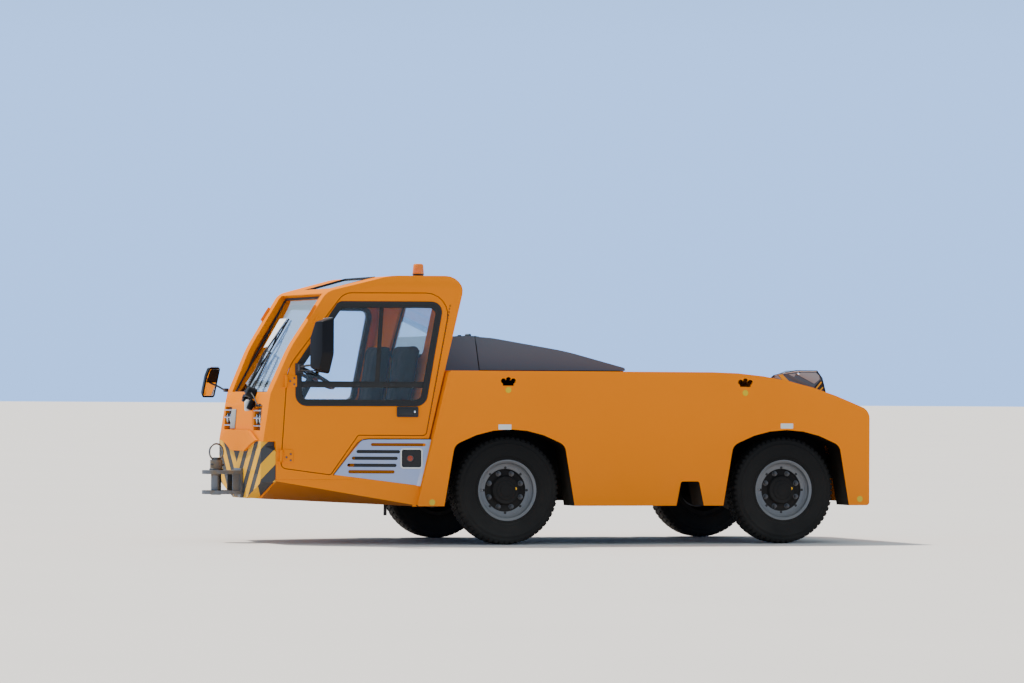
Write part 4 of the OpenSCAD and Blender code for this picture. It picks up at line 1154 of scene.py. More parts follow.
def tread_block(low, high, half):
    """One block, wider at its root, which drops away over the tyre's shoulder."""
    block = box((-half, low, TREAD_ROOT), (half, high, TREAD_TOP))
    only(block)
    bpy.ops.object.mode_set(mode="EDIT")
    mesh = bmesh.from_edit_mesh(block.data)
    for vertex in mesh.verts:
        outer = abs(vertex.co.y) > TREAD_SHOULDER
        if outer and vertex.co.z > TREAD_ROOT + 0.001:
            vertex.co.z -= 0.0075
        elif outer:
            vertex.co.z -= 0.018
            vertex.co.y *= 1.09
        if vertex.co.z < TREAD_ROOT + 0.001:
            vertex.co.x *= 1.08
    bmesh.update_edit_mesh(block.data)
    bpy.ops.object.mode_set(mode="OBJECT")
    return bevel_edges(block, 0.0016, 1)


def tread():
    """All tread blocks of one tyre: one pitch, turned round the tyre by duplicates of a spin."""
    pitch = math.tau * TREAD_TOP / TREAD_PITCHES
    obj = joined("tread", [
        apply_place(tread_block(low, high, pitch * share / 2),
                    Matrix.Rotation(shift * math.tau / TREAD_PITCHES, 4, "Y"))
        for low, high, share, shift in TREAD_BLOCKS
    ])
    bpy.ops.object.mode_set(mode="EDIT")
    bpy.ops.mesh.select_all(action="SELECT")
    bpy.ops.mesh.spin(
        steps=TREAD_PITCHES - 1,
        dupli=True,
        angle=math.tau * (TREAD_PITCHES - 1) / TREAD_PITCHES,
        center=(0, 0, 0),
        axis=(0, 1, 0),
    )
    bpy.ops.object.mode_set(mode="OBJECT")
    return outwards(obj)


def nut():
    """One wheel nut on its washer, with the end of its stud."""
    base = STUD_FACE
    return joined("nut", [
        rod((0, base - 0.003, 0), (0, base + 0.004, 0), 0.0215, 24, soft=0.001),
        rod((0, base + 0.003, 0), (0, base + 0.024, 0), 0.0175, 6, 0.0165, soft=0.0015),
        rod((0, base + 0.023, 0), (0, base + 0.034, 0), 0.0095, 16, 0.0085, soft=0.001),
    ])


class TRACTOR_OT_wheels(bpy.types.Operator):
    """Makes one wheel and copies it to all four axle ends"""

    bl_idname = "tractor.wheels"
    bl_label = "Wheels"

    def execute(self, context):
        back = [(radius, -along) for radius, along in reversed(TYRE_PROFILE)]
        carcass = lathe(TYRE_PROFILE + back, steps=112)
        nuts = copies(nut(), [
            turn @ Matrix.Translation((STUD_CIRCLE, 0, 0)) @ Matrix.Rotation(0.3 * k, 4, "Y")
            for k, turn in enumerate(round_y(STUDS, 0.5))
        ])
        valve = tube(VALVE_PATH, 0.0045)
        hand_holes = copies(rod((0, 0.048, 0), (0, 0.0545, 0), 0.0105, 16, soft=0.001), [
            turn @ Matrix.Translation((HAND_HOLE_CIRCLE, 0, 0)) for turn in round_y(STUDS)
        ])
        mark = rod((-0.078, 0.0735, 0.012), (-0.078, 0.0762, 0.012), 0.0105, 20, soft=0.0006)
        rim = paint(lathe(RIM_PROFILE, steps=96), MATERIALS["rim"])
        second_finish(rim, "disc", lambda at, normal: at.y < RIM_DARK_BELOW)
        parts = [
            # part, name, finish, slot, the node it stands for
            (joined("tyre", [carcass, tread()]), "tyre", "tyre", "tyre", "tyre_"),
            (rim, "rim", None, "rim_paint", "rim_"),
            (lathe(DISC_PROFILE, steps=96), "disc", "disc", "rim_paint", None),
            (lathe(CAP_PROFILE, steps=72), "hub_cap", "disc", "rim_paint", None),
            (nuts, "nuts", "dark_steel", None, None),
            (valve, "valve", "steel", None, None),
            (hand_holes, "hand_holes", "rubber", None, None),
            (mark, "mark", "yellow", None, None),
        ]
        for part, name, finish, slot, node in parts:
            for wheel in WHEELS:
                piece = again(part, f"wheel_{name}_{wheel}", wheel_frame(wheel))
                fit(piece, finish, "rim_" + wheel, [node + wheel] if node else [], slot)
            only(part)
            bpy.ops.object.delete()
        return {"FINISHED"}


# Doors: window gaskets with their bars and panes, handles and hinges

WINDOW_ROWS = [
    (0.105, 0.12, 0.09), (1.094, 0.117, 0.095), (1.095, 0.42, 0.13), (0.77, 0.915, 0.06),
    (-0.03, 0.916, 0.09),
]
DOOR_ROWS = [
    (0.1, -0.107, 0.03), (0.618, -0.107, 0.02), (0.828, -0.412, 0.02), (1.205, -0.362, 0.04),
    (1.158, 0.4, 0.3), (0.73, 0.983, 0.12), (-0.095, 0.985, 0.165),
]
STRIP_LOW, STRIP_HIGH = Vector((0.094, 0.0, -0.06)), Vector((-0.078, 0.0, 0.89))
STRIP_RIBS = 40
GASKET_WIDTH = 0.042
WINDOW_BAR = [(0.12, 0.258, 0), (1.07, 0.258, 0), (1.07, 0.304, 0), (0.09, 0.304, 0)]
WINDOW_DIVIDER = [(0.458, 0.3, 0), (0.49, 0.3, 0), (0.458, 0.885, 0), (0.426, 0.885, 0)]
CATCHES_X, CATCH_Z = (0.36, 0.62), 0.281
HANDLE_POCKET = rectangle(0.158, 0.032, 0.321, 0.109, 0.012)
HANDLE_FLAP = rectangle(0.2, 0.048, 0.31, 0.096, 0.006)
HINGE_LEAVES = [
    rectangle(1.088, 0.258, 1.185, 0.348, 0.008),
    [(1.112, -0.326, 0.008), (1.188, -0.322, 0.008), (1.188, -0.22, 0.008), (1.112, -0.224, 0.008)],
]
# From the leaf's first corner
HINGE_BOLTS = [(0.02, 0.02), (0.02, 0.068), (0.052, 0.044)]


class TRACTOR_OT_doors(bpy.types.Operator):
    """Fits gaskets, panes, handles and hinge plates to both doors"""

    bl_idname = "tractor.doors"
    bl_label = "Doors"

    def execute(self, context):
        for label, side in SIDES.items():
            place, carrier = on_side(CAB_SIDE, side), "door_" + label
            self.window(label, place, carrier)
            self.handle(label, place, carrier)
            self.hinges(label, place, carrier)
            seal = ring(DOOR_ROWS, 0.0055, 0.001, -0.014, -0.03, place)
            build("door_seal_" + label, "rubber", carrier, seal)
            ribs = copies(box((-0.009, -0.006, -0.0065), (-0.002, 0.0022, 0.0065)), [
                place @ Matrix.Translation(STRIP_LOW.lerp(STRIP_HIGH, k / (STRIP_RIBS - 1)))
                for k in range(STRIP_RIBS)
            ])
            build("edge_strip_" + label, "rubber", "cab_frame", ribs)
        return {"FINISHED"}

    def window(self, label, place, carrier):
        build("window_gasket_" + label, "rubber", carrier,
              ring(WINDOW_ROWS, 0.006, 0.016, 0.0045, -0.01, place, soft=0.003),
              ring(WINDOW_ROWS, 0.0, GASKET_WIDTH, 0.0005, -0.032, place, soft=0.0025),
              ring(moved(WINDOW_ROWS, GASKET_WIDTH - 0.008), 0.0, 0.01, 0.003, -0.014, place, soft=0.002),
              plate(WINDOW_BAR, -0.004, -0.026, place, soft=0.004),
              plate(WINDOW_DIVIDER, -0.006, -0.024, place, soft=0.004),
              nodes=["door_glass_" + label])
        pane = plate(moved(WINDOW_ROWS, GASKET_WIDTH - 0.006), -0.016, -0.021, place)
        build("window_pane_" + label, "glass", carrier, pane)
        build("window_catches_" + label, "plastic", carrier,
              *(box((x - 0.014, -0.01, CATCH_Z - 0.012), (x + 0.014, 0.006, CATCH_Z + 0.012), place, 0.003)
                for x in CATCHES_X))

    def handle(self, label, place, carrier):
        build("door_handle_" + label, "plastic", carrier,
              ring(HANDLE_POCKET, 0.0015, 0.009, 0.011, -0.001, place, soft=0.002),
              plate(moved(HANDLE_POCKET, 0.006), 0.009, 0.004, place, soft=0.001),
              plate(HANDLE_FLAP, 0.015, 0.006, place, soft=0.003))
        lock = rod((0.184, 0.006, 0.072), (0.184, 0.013, 0.072), 0.008, 20, matrix=place, soft=0.001)
        build("door_lock_" + label, "chrome", carrier, lock)

    def hinges(self, label, place, carrier):
        leaves, bolts = [], []
        for rows in HINGE_LEAVES:
            leaves.append(plate(rows, 0.0065, 0.0, place, soft=0.0015))
            x, z = rows[0][:2]
            bolts += [bolt((x + u, 0.006, z + v), (x + u, 0.0125, z + v), place) for u, v in HINGE_BOLTS]
        build("hinge_leaves_" + label, "orange", carrier, *leaves)
        build("hinge_bolts_" + label, "dark_steel", carrier, *bolts)


SEALS = [
    # name, frame, outset, inset, back, rounding, rows
    ("screen_seal", SCREEN, 0.004, 0.016, -0.011, 0.002,
     [(-0.51, 0.0, 0.03), (0.51, 0.0, 0.03), (0.585, 0.869, 0.04), (-0.585, 0.869, 0.04)]),
    ("skylight_seal", SKYLIGHT, 0.004, 0.011, -0.013, 0.002,
     [(-0.361, 0.0, 0.02), (0.361, 0.0, 0.02), (0.416, 0.369, 0.02), (-0.416, 0.369, 0.02)]),
    ("rear_seal", REAR_WALL, 0.006, 0.024, -0.026, 0.003,
     [(-0.47, -0.226, 0.06), (0.47, -0.226, 0.06), (0.43, 0.226, 0.06), (-0.43, 0.226, 0.06)]),
]


class TRACTOR_OT_cab_seals(bpy.types.Operator):
    """Seals round the windscreen, the skylight and the rear window"""

    bl_idname = "tractor.cab_seals"
    bl_label = "Cab seals"

    def execute(self, context):
        for name, place, outset, inset, back, soft, rows in SEALS:
            build(name, "rubber", "cab_glass", ring(rows, outset, inset, 0.003, back, place, soft))
        return {"FINISHED"}


# Small pieces on the cab's front

PILLAR_EAR_X, PILLAR_EAR_Y, PILLAR_EAR_Z = 1.848, 0.665, 1.757
PILLAR_UP = Vector((-0.536, 0.0, 0.844))
PILLAR_OUT = Vector((0.844, 0.0, 0.536))
PILLAR_EAR_ROWS = [(-0.02, -0.062, 0.0), (0.06, -0.062, 0.008), (0.06, 0.062, 0.008), (-0.02, 0.062, 0.0)]
SIDE_PLATE_LOW, SIDE_PLATE_HIGH = (0.199, -0.001, -0.08), (0.333, 0.006, 0.072)
SIDE_PLATE_RIVETS = [(0.211, -0.066), (0.211, 0.06), (0.321, -0.066), (0.321, 0.06)]
# Outline of the white sheet painted as a reflection on the windscreen
SCREEN_REFLECTION_ROWS = [(0.3, 0.425, 0.004), (0.4, 0.415, 0.004), (0.402, 0.676, 0.004), (0.205, 0.678, 0.004)]


class TRACTOR_OT_front_pieces(bpy.types.Operator):
    """Bracket ears on the front pillars, the plate beside a head lamp and a white sheet on the windscreen
    painted as a bright reflection
    """

    bl_idname = "tractor.front_pieces"
    bl_label = "Front pieces"

    def execute(self, context):
        for label, side in SIDES.items():
            at = (PILLAR_EAR_X, side * PILLAR_EAR_Y, PILLAR_EAR_Z)
            place = surface(at, PILLAR_OUT, PILLAR_UP)
            build("pillar_ear_" + label, "orange", "cab_frame",
                  plate(PILLAR_EAR_ROWS, 0.003, -0.003, surface(at, (0, 1, 0), PILLAR_UP), soft=0.0015),
                  box((-0.034, -0.01, -0.062), (0.036, 0.004, 0.062), place, soft=0.0015))
            build("pillar_ear_bolts_" + label, "dark_steel", "cab_frame",
                  *(bolt((0.02, 0.003, up), (0.02, 0.01, up), place) for up in (-0.04, 0.04)))
        build("lamp_side_plate", "pale_grey", "cab_frame",
              box(SIDE_PLATE_LOW, SIDE_PLATE_HIGH, FRONT_FACE, soft=0.002),
              *(rod((across, 0.005, up), (across, 0.009, up), 0.006, 12, 0.004, FRONT_FACE)
                for across, up in SIDE_PLATE_RIVETS))
        # White sheet painted as a bright reflection on the windscreen
        build("screen_card", "card", "cab_glass", plate(SCREEN_REFLECTION_ROWS, 0.002, 0.0004, SCREEN))
        return {"FINISHED"}


# Mirrors: a positive slant draws in the head's right upper corner, a negative one its left

MIRROR_LEFT = {"across": 0.215, "height": 0.43, "deep": 0.09, "slant": -0.085, "rim": 0.009}
MIRROR_RIGHT = {"across": 0.13, "height": 0.255, "deep": 0.05, "slant": 0.02, "rim": 0.017}
MIRROR_FOOT = Vector((1.071, 0.06, 0.402))
MIRROR_LEFT_AT = CAB_SIDE @ Vector((0.87, 0.189, 0.554))
MIRROR_LEFT_LOOKS = CAB_SIDE.to_3x3() @ Vector((-0.78, -0.625, 0.0))
MIRROR_RIGHT_AT = Vector((2.266, -0.9, 1.239))
MIRROR_RIGHT_LOOKS = Vector((-0.362, 0.879, -0.31))
MIRROR_RIGHT_FOOT = Vector((2.205, -0.676, 1.18))
# The far mirror's dark upper half: a black plate painted as the dark part of its reflection
DARK_REFLECTION_ROWS = [(-0.046, 0.0, 0), (0.046, 0.0, 0), (0.03, 0.108, 0.01), (-0.046, 0.108, 0.01)]


def mirror_head(label, size, place):
    """A housing with a domed back, and its glass set in the open face, which looks along Y."""
    name, carrier = "mirror_head_" + label, "mirror_" + label
    half, top, deep, slant = size["across"] / 2, size["height"] / 2, size["deep"], size["slant"]
    rows = [(-half, -top, 0.022), (half, -top, 0.022), (half, top * 0.4, 0.05), (half - slant, top, 0.022),
            (-half, top, 0.022)]
    if slant < 0:
        rows = [(half - 0.055, -top, 0.03), (half, -top * 0.3, 0.1), (half, top, 0.022),
                (-half - slant, top, 0.022), (-half, top * 0.35, 0.05), (-half, -top * 0.88, 0.03)]
    shell = plate(rows, 0.0, -deep, Matrix.Identity(4), steps=5)
    for vertex in shell.data.vertices:
        if vertex.co.y < -deep / 2:
            vertex.co.x *= 0.72
            vertex.co.z *= 0.86
    select_faces(shell, lambda at, normal: normal.y > 0.9)
    bpy.ops.mesh.inset(thickness=0.008)
    bpy.ops.transform.translate(value=(0, -0.01, 0))
    bpy.ops.object.mode_set(mode="OBJECT")
    bevel_edges(shell, 0.012, 4)
    build(name, "black", carrier, apply_place(shell, place), nodes=[carrier])
    glass = plate(moved(rows, size["rim"]), -0.004, -0.009, place, soft=0.001, steps=5)
    build(name + "_glass", "mirror", carrier, glass)
    ends = (-half - min(slant, 0) + 0.012, half - max(slant, 0) - 0.012)
    edge = wire([(across, -0.014, top - 0.001) for across in ends], 0.0025, place)
    build(name + "_edge", "chrome", carrier, edge)


class TRACTOR_OT_mirrors(bpy.types.Operator):
    """Makes both mirrors with their arms and brackets"""

    bl_idname = "tractor.mirrors"
    bl_label = "Mirrors"

    def execute(self, context):
        self.left()
        self.right()
        return {"FINISHED"}

    def left(self):
        up = CAB_SIDE.to_3x3() @ Vector((0, 0, 1))
        mirror_head("left", MIRROR_LEFT, surface(MIRROR_LEFT_AT, MIRROR_LEFT_LOOKS, up))
        foot, knee = CAB_SIDE @ (MIRROR_FOOT - Vector((0, 0.05, 0))), CAB_SIDE @ MIRROR_FOOT
        back = MIRROR_LEFT_AT - MIRROR_LEFT_LOOKS.normalized() * 0.06
        build("mirror_arm_left", "plastic", "mirror_left",
              tube([foot, knee, (knee + back) / 2 - up * 0.06, back - up * 0.15], 0.009),
              tube([knee - up * 0.02, back - up * 0.19], 0.005))
        clamp = rod(knee - up * 0.024, knee + up * 0.022, 0.012, 20, soft=0.003)
        build("mirror_clamp_left", "dark_steel", "mirror_left", clamp, slot="lamp_chrome")
        build("mirror_bracket_left", "plastic", "mirror_left",
              box((1.04, 0.0, 0.362), (1.103, 0.014, 0.44), CAB_SIDE, soft=0.004),
              box((1.048, 0.012, 0.374), (1.094, 0.052, 0.428), CAB_SIDE, soft=0.006))

    def right(self):
        place = surface(MIRROR_RIGHT_AT, MIRROR_RIGHT_LOOKS, (0, 0, 1))
        mirror_head("right", MIRROR_RIGHT, place)
        # Black plate over the glass's upper half: painted dark reflection
        build("mirror_shade_right", "black", "mirror_right", plate(DARK_REFLECTION_ROWS, -0.002, -0.0045, place))
        foot, half = MIRROR_RIGHT_FOOT, Vector((0.015, 0.03, 0.015))
        build("mirror_arm_right", "plastic", "mirror_right",
              tube([foot, foot + Vector((0.006, -0.06, 0.004)), (foot + MIRROR_RIGHT_AT) / 2,
                    MIRROR_RIGHT_AT + Vector((0.01, -0.02, 0.0))], 0.008),
              box(foot - half, foot + half, soft=0.004))


# Wipers on the windscreen, in the screen's own frame: (across, up)

WIPER_ARMS = [((-0.14, 0.0), (-0.02, 0.343)), ((0.05, -0.006), (0.125, 0.371))]
ARM_LIFT = 0.034
BLADE_FOOT, BLADE_TIP = Vector((0.15, 0.0, 0.063)), Vector((0.108, 0.0, 0.671))
YOKE = [(-0.55, 0.02), (-0.35, 0.03), (0, 0.036), (0.35, 0.03), (0.55, 0.02)]
SHORT_YOKE = [(-0.32, 0.012), (-0.15, 0.02), (0, 0.023), (0.15, 0.02), (0.32, 0.012)]
BLADE_HOSE = [(-0.9, 0.016), (-0.5, 0.034), (-0.2, 0.046), (0, 0.044)]
# In the cowl's frame
MOTOR_AT = (-0.2, 0.0, 0.08)
MOTOR_PROFILE = [
    (0.0, 0.0), (0.04, 0.0), (0.045, 0.006), (0.045, 0.032), (0.041, 0.038), (0.041, 0.06), (0.035, 0.07),
    (0.02, 0.074), (0.0, 0.075),
]
MOTOR_BLOCKS = [
    # low corner, high corner, rounding: bracket, elbow, link, pump and the pump's foot
    ((-0.235, 0.0, 0.04), (-0.02, 0.014, 0.08), 0.004),
    ((-0.082, 0.01, 0.006), (-0.03, 0.04, 0.05), 0.008),
    ((-0.2, 0.04, 0.04), (-0.06, 0.052, 0.06), 0.003),
    ((-0.346, 0.004, -0.06), (-0.308, 0.05, 0.018), 0.007),
    ((-0.352, 0.0, -0.03), (-0.252, 0.008, -0.006), 0.002),
]
BOTTLE_AT = Vector((-0.272, 0.036, -0.028))
BOTTLE_PROFILE = [
    (0.0, -0.044), (0.018, -0.044), (0.024, -0.039), (0.025, -0.03), (0.0244, -0.004), (0.025, -0.001),
    (0.025, 0.026), (0.021, 0.034), (0.013, 0.038), (0.013, 0.046), (0.0, 0.046),
]
CABLE_ROUTE = [
    (-0.23, 0.04, 0.078), (-0.262, 0.046, 0.07), (-0.315, 0.03, 0.05), (-0.375, 0.01, 0.01),
    (-0.44, 0.0065, -0.012), (-0.512, 0.0065, -0.014), (-0.545, -0.004, -0.014),
]
CLIPS_X = (-0.425, -0.5)


def coil(base, tip, radius, turns, thick):
    """A thin hose wound in an open coil round the line from base to tip."""
    along = tip - base
    one = along.orthogonal().normalized()
    other = along.normalized().cross(one)
    count = turns * 8
    points = []
    for k in range(count + 1):
        turn = math.tau * k / 8
        points.append(base + along * k / count + radius * (math.cos(turn) * one + math.sin(turn) * other))
    return tube(points, thick, SCREEN, 8)


class TRACTOR_OT_wipers(bpy.types.Operator):
    """Makes the wiper motor, the pantograph arms and the blade"""

    bl_idname = "tractor.wipers"
    bl_label = "Wipers"

    def execute(self, context):
        arms = [[Vector((x, ARM_LIFT, z)) for x, z in arm] for arm in WIPER_ARMS]
        parts = []
        for number, (foot, head) in enumerate(arms):
            lean, top = (head - foot).normalized(), Vector((0, 0.01, 0))
            parts += [
                wire([foot, foot + lean * 0.05, head], 0.0055, SCREEN),
                rod(foot - Vector((0, ARM_LIFT, 0)), foot + top, 0.014, 20, 0.011, SCREEN, 0.002),
                rod(head - Vector((0, 0.008, 0)), head + top, 0.01, 16, 0.009, SCREEN, 0.002),
                coil(foot + lean * 0.02, head - lean * (0.015 + 0.05 * number), 0.0105, 14, 0.0026),
            ]
        parts.append(wire([head for foot, head in arms], 0.0065, SCREEN))
        build("wipers", "plastic", "wiper", *parts, *self.blade(), nodes=["wiper"])
        self.motor()
        self.cable()
        return {"FINISHED"}

    def blade(self):
        """A rubber strip in its claws, held by a long arched yoke and two short ones."""
        centre, half = (BLADE_FOOT + BLADE_TIP) / 2, (BLADE_TIP - BLADE_FOOT) / 2

        def at(share, lift):
            return centre + half * share + Vector((0, lift, 0))

        strip = [
            wire([at(-1, 0.0045), at(1, 0.0045)], 0.0035, SCREEN),
            wire([at(-1, 0.011), at(1, 0.011)], 0.003, SCREEN),
            tube([at(*row) for row in YOKE], 0.0052, SCREEN, 8),
            tube([at(*row) for row in BLADE_HOSE], 0.0035, SCREEN, 8),
            rod(at(0, 0.026), at(0, 0.046), 0.01, 16, matrix=SCREEN, soft=0.002),
        ]
        for share in (-0.55, 0.55):
            strip.append(tube([at(share + end, lift) for end, lift in SHORT_YOKE], 0.0042, SCREEN, 8))
            strip += [rod(at(share + end, 0.004), at(share + end, 0.018), 0.0058, 12, matrix=SCREEN)
                      for end in (-0.32, 0.32)]
        strip.append(coil(at(-0.95, 0.022), at(0.05, 0.04), 0.0085, 22, 0.0022))
        return strip

    def motor(self):
        """The motor on its bracket, with the washer pump and bottle below it."""
        build("wiper_motor", "black", "wiper",
              lathe(MOTOR_PROFILE, COWL @ Matrix.Translation(MOTOR_AT), 40),
              rod((-0.05, 0.004, 0.046), (-0.05, 0.046, 0.046), 0.022, 24, 0.018, COWL, 0.004),
              *(box(low, high, COWL, soft) for low, high, soft in MOTOR_BLOCKS),
              rod((-0.272, 0.036, 0.014), (-0.272, 0.036, 0.03), 0.016, 20, matrix=COWL, soft=0.002))
        down = Matrix.Translation(COWL @ BOTTLE_AT) @ Y_UP
        build("washer_bottle", "white_plastic", "wiper", lathe(BOTTLE_PROFILE, down, 40))

    def cable(self):
        """The cable to the motor, clipped along the top of the nose."""
        build("wiper_cable", "rubber", "wiper", tube(CABLE_ROUTE, 0.0056, COWL),
              *(box((x - 0.006, -0.002, -0.026), (x + 0.006, 0.014, 0.0), COWL, soft=0.002) for x in CLIPS_X))


# Lamps

LAMP_CANS_X = (-0.046, 0.046)
CAN_PROFILE = [
    (0.0, -0.026), (0.034, -0.026), (0.04, -0.012), (0.04, 0.002), (0.036, 0.004), (0.034, -0.004),
    (0.0, -0.016),
]
LENS_PROFILE = [(0.0, 0.001), (0.0345, -0.001), (0.0345, 0.003), (0.02, 0.007), (0.0, 0.008)]
HEAD_LAMP_BARS = [-0.054, 0.006, 0.064]
BAR_PATH = [(-0.1, 0.011), (-0.096, 0.0145), (0.096, 0.0145), (0.1, 0.011)]
TAIL_LAMP_Y, TAIL_LAMP_Z = 0.64, 0.88
TAIL_LENSES = [("red", -0.104, 0.02), ("amber", 0.024, 0.104)]
BEACON_BASE = [
    (0.0, 0.0), (0.046, 0.0), (0.047, 0.004), (0.043, 0.01), (0.0425, 0.02), (0.047, 0.023), (0.047, 0.028),
    (0.0, 0.028),
]
BEACON_DOME = [
    (0.045, 0.026), (0.046, 0.03), (0.0425, 0.07), (0.04, 0.096), (0.036, 0.104), (0.028, 0.1078),
    (0.0, 0.108), (0.0, 0.104), (0.027, 0.104), (0.034, 0.1), (0.037, 0.094), (0.0395, 0.07), (0.042, 0.03),
    (0.042, 0.026),
]
BEACON_LAMP = [(0.0, 0.026), (0.02, 0.026), (0.022, 0.04), (0.017, 0.06), (0.012, 0.078), (0.0, 0.082)]


class TRACTOR_OT_lamps(bpy.types.Operator):
    """Head lamps behind their guard bars, tail lamps and the beacon"""

    bl_idname = "tractor.lamps"
    bl_label = "Lamps"

    def execute(self, context):
        for label, side in SIDES.items():
            self.head_lamp(label, side)
            self.tail_lamp(label, side)
        self.beacon()
        return {"FINISHED"}

    def head_lamp(self, label, side):
        place = HEAD_LAMP_PLACES[side]
        cans = [place @ Matrix.Translation((across, 0, 0)) for across in LAMP_CANS_X]
        build("head_lamp_back_" + label, "trim", "lamps",
              box((-0.094, -0.03, -0.087), (0.094, -0.024, 0.087), place, soft=0.002),
              nodes=["lamps"] if side == LEFT else [])
        build("head_lamp_" + label, "dark_steel", "lamps", *(lathe(CAN_PROFILE, can, 40) for can in cans),
              slot="lamp_chrome")
        build("head_lamp_lens_" + label, "glass", "lamps", *(lathe(LENS_PROFILE, can, 40) for can in cans))
        build("head_lamp_guard_" + label, "aluminium", "lamps",
              *(tube([(x, y, z) for x, y in BAR_PATH], 0.0052, place, 12) for z in HEAD_LAMP_BARS))

    def tail_lamp(self, label, side):
        place = REAR_FACE @ Matrix.Translation((side * TAIL_LAMP_Y, 0, TAIL_LAMP_Z))
        housing = box((-0.109, -0.06, -0.049), (0.109, -0.006, 0.049), place, soft=0.004)
        build("tail_lamp_" + label, "plastic", "lamps", housing)
        for finish, low, high in TAIL_LENSES:
            if side == RIGHT:
                low, high = -high, -low
            lens = box((low, -0.01, -0.044), (high, -0.002, 0.044), place, soft=0.003)
            build(f"tail_lens_{finish}_{label}", finish, "lamps", lens)

    def beacon(self):
        low, high = (Vector(corner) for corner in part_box("beacon"))
        place = Matrix.Translation(((low.x + high.x) / 2, (low.y + high.y) / 2, low.z)) @ Y_UP
        build("beacon_base", "plastic", "beacon", lathe(BEACON_BASE, place, 48))
        build("beacon_dome", "amber", "beacon", lathe(BEACON_DOME, place, 48), nodes=["beacon"])
        build("beacon_lamp", "chrome", "beacon", lathe(BEACON_LAMP, place, 32))


# Cab inside

SEAT_Y = 0.38
SEAT_PADS = [
    # name, half width, node it stands for, rows
    ("seat_cushion", 0.222, ["seats"],
     [(1.12, 0.801, 0.02), (1.56, 0.801, 0.02), (1.59, 0.95, 0.06), (1.12, 0.97, 0.04)]),
    ("seat_back", 0.212, [],
     [(1.1, 0.88, 0.01), (1.205, 0.88, 0.02), (1.08, 1.56, 0.04), (0.975, 1.56, 0.04)]),
]
# Height that no cushion goes below, where it lies on its base
SEAT_FLOOR = 0.8005
SEAT_TUBE = [(1.105, 0.83), (1.09, 0.94), (0.99, 1.5)]
CUSHION_SWELL = 0.022
PAD_VOXEL = 0.013
PAD_PRESSURE = 4.0
PAD_FRAMES = 20
# Sewn channels: distances across the seat from its middle
SEAT_CHANNELS = (-0.125, 0.0, 0.125)
CHANNEL_DEPTH, CHANNEL_WIDTH = 0.009, 0.012
HOOD_ROWS = [(2.0, 1.105, 0.01), (2.11, 1.118, 0.02), (2.09, 1.165, 0.03), (2.0, 1.15, 0.02)]
DIALS_Y = (0.25, 0.31, 0.385, 0.46, 0.52)
DIAL_PROFILE = [(0.0, 0.0), (0.019, 0.0), (0.02, 0.004), (0.017, 0.004), (0.016, 0.001), (0.0, 0.001)]
SWITCHES, SWITCH_FIRST_Y, SWITCH_PITCH = 8, -0.4, 0.045
PEDALS_Y = (0.29, 0.44)
PEDAL_STEM = [(2.0, 0.905), (2.045, 0.96), (2.06, 1.02)]
WHEEL_RADIUS, WHEEL_GRIP = 0.185, 0.014
HUB_PROFILE = [(0.0, -0.022), (0.03, -0.022), (0.05, -0.012), (0.052, 0.004), (0.046, 0.014), (0.0, 0.017)]
STALK_PATH = [(0.03, 0, -0.09), (0.03, 0.1, -0.085), (0.03, 0.17, -0.06)]


def pad_out(obj):
    """Swells a closed form with Cloth pressure, then adds one subdivision."""
    only(obj)
    even = obj.modifiers.new("Even mesh", "REMESH")
    even.mode = "VOXEL"
    even.voxel_size = PAD_VOXEL
    bpy.ops.object.modifier_apply(modifier=even.name)
    before = [vertex.co.copy() for vertex in obj.data.vertices]
    padding = obj.modifiers.new("Padding", "CLOTH")
    padding.settings.use_pressure = True
    padding.settings.uniform_pressure_force = PAD_PRESSURE
    padding.settings.effector_weights.gravity = 0.0
    padding.point_cache.frame_start = 1
    padding.point_cache.frame_end = PAD_FRAMES
    for step in range(1, PAD_FRAMES + 1):
        bpy.context.scene.frame_set(step)
    bpy.ops.object.modifier_apply(modifier=padding.name)
    bpy.context.scene.frame_set(1)
    for vertex, at in zip(obj.data.vertices, before):
        shift = vertex.co - at
        if shift.length > CUSHION_SWELL:
            vertex.co = at + shift.normalized() * CUSHION_SWELL
    finer = obj.modifiers.new("Finer", "SUBSURF")
    finer.levels = 1
    bpy.ops.object.modifier_apply(modifier=finer.name)


def sew(obj, lying):
    """Presses sewn channels into the face that is sat on or leant against."""
    low = min(vertex.co.z for vertex in obj.data.vertices)
    for vertex in obj.data.vertices:
        normal = vertex.normal
        facing = max(0.0, normal.z if lying else normal.x)
        nearest = min(abs(vertex.co.y - SEAT_Y - across) for across in SEAT_CHANNELS)
        depth = CHANNEL_DEPTH * facing * math.exp(-((nearest / CHANNEL_WIDTH) ** 2))
        vertex.co -= Vector((0.0, 0.0, depth)) if lying else Vector((depth, 0.0, 0.0))
        if lying:
            vertex.co.z = max(vertex.co.z, low, SEAT_FLOOR)
    obj.data.update()


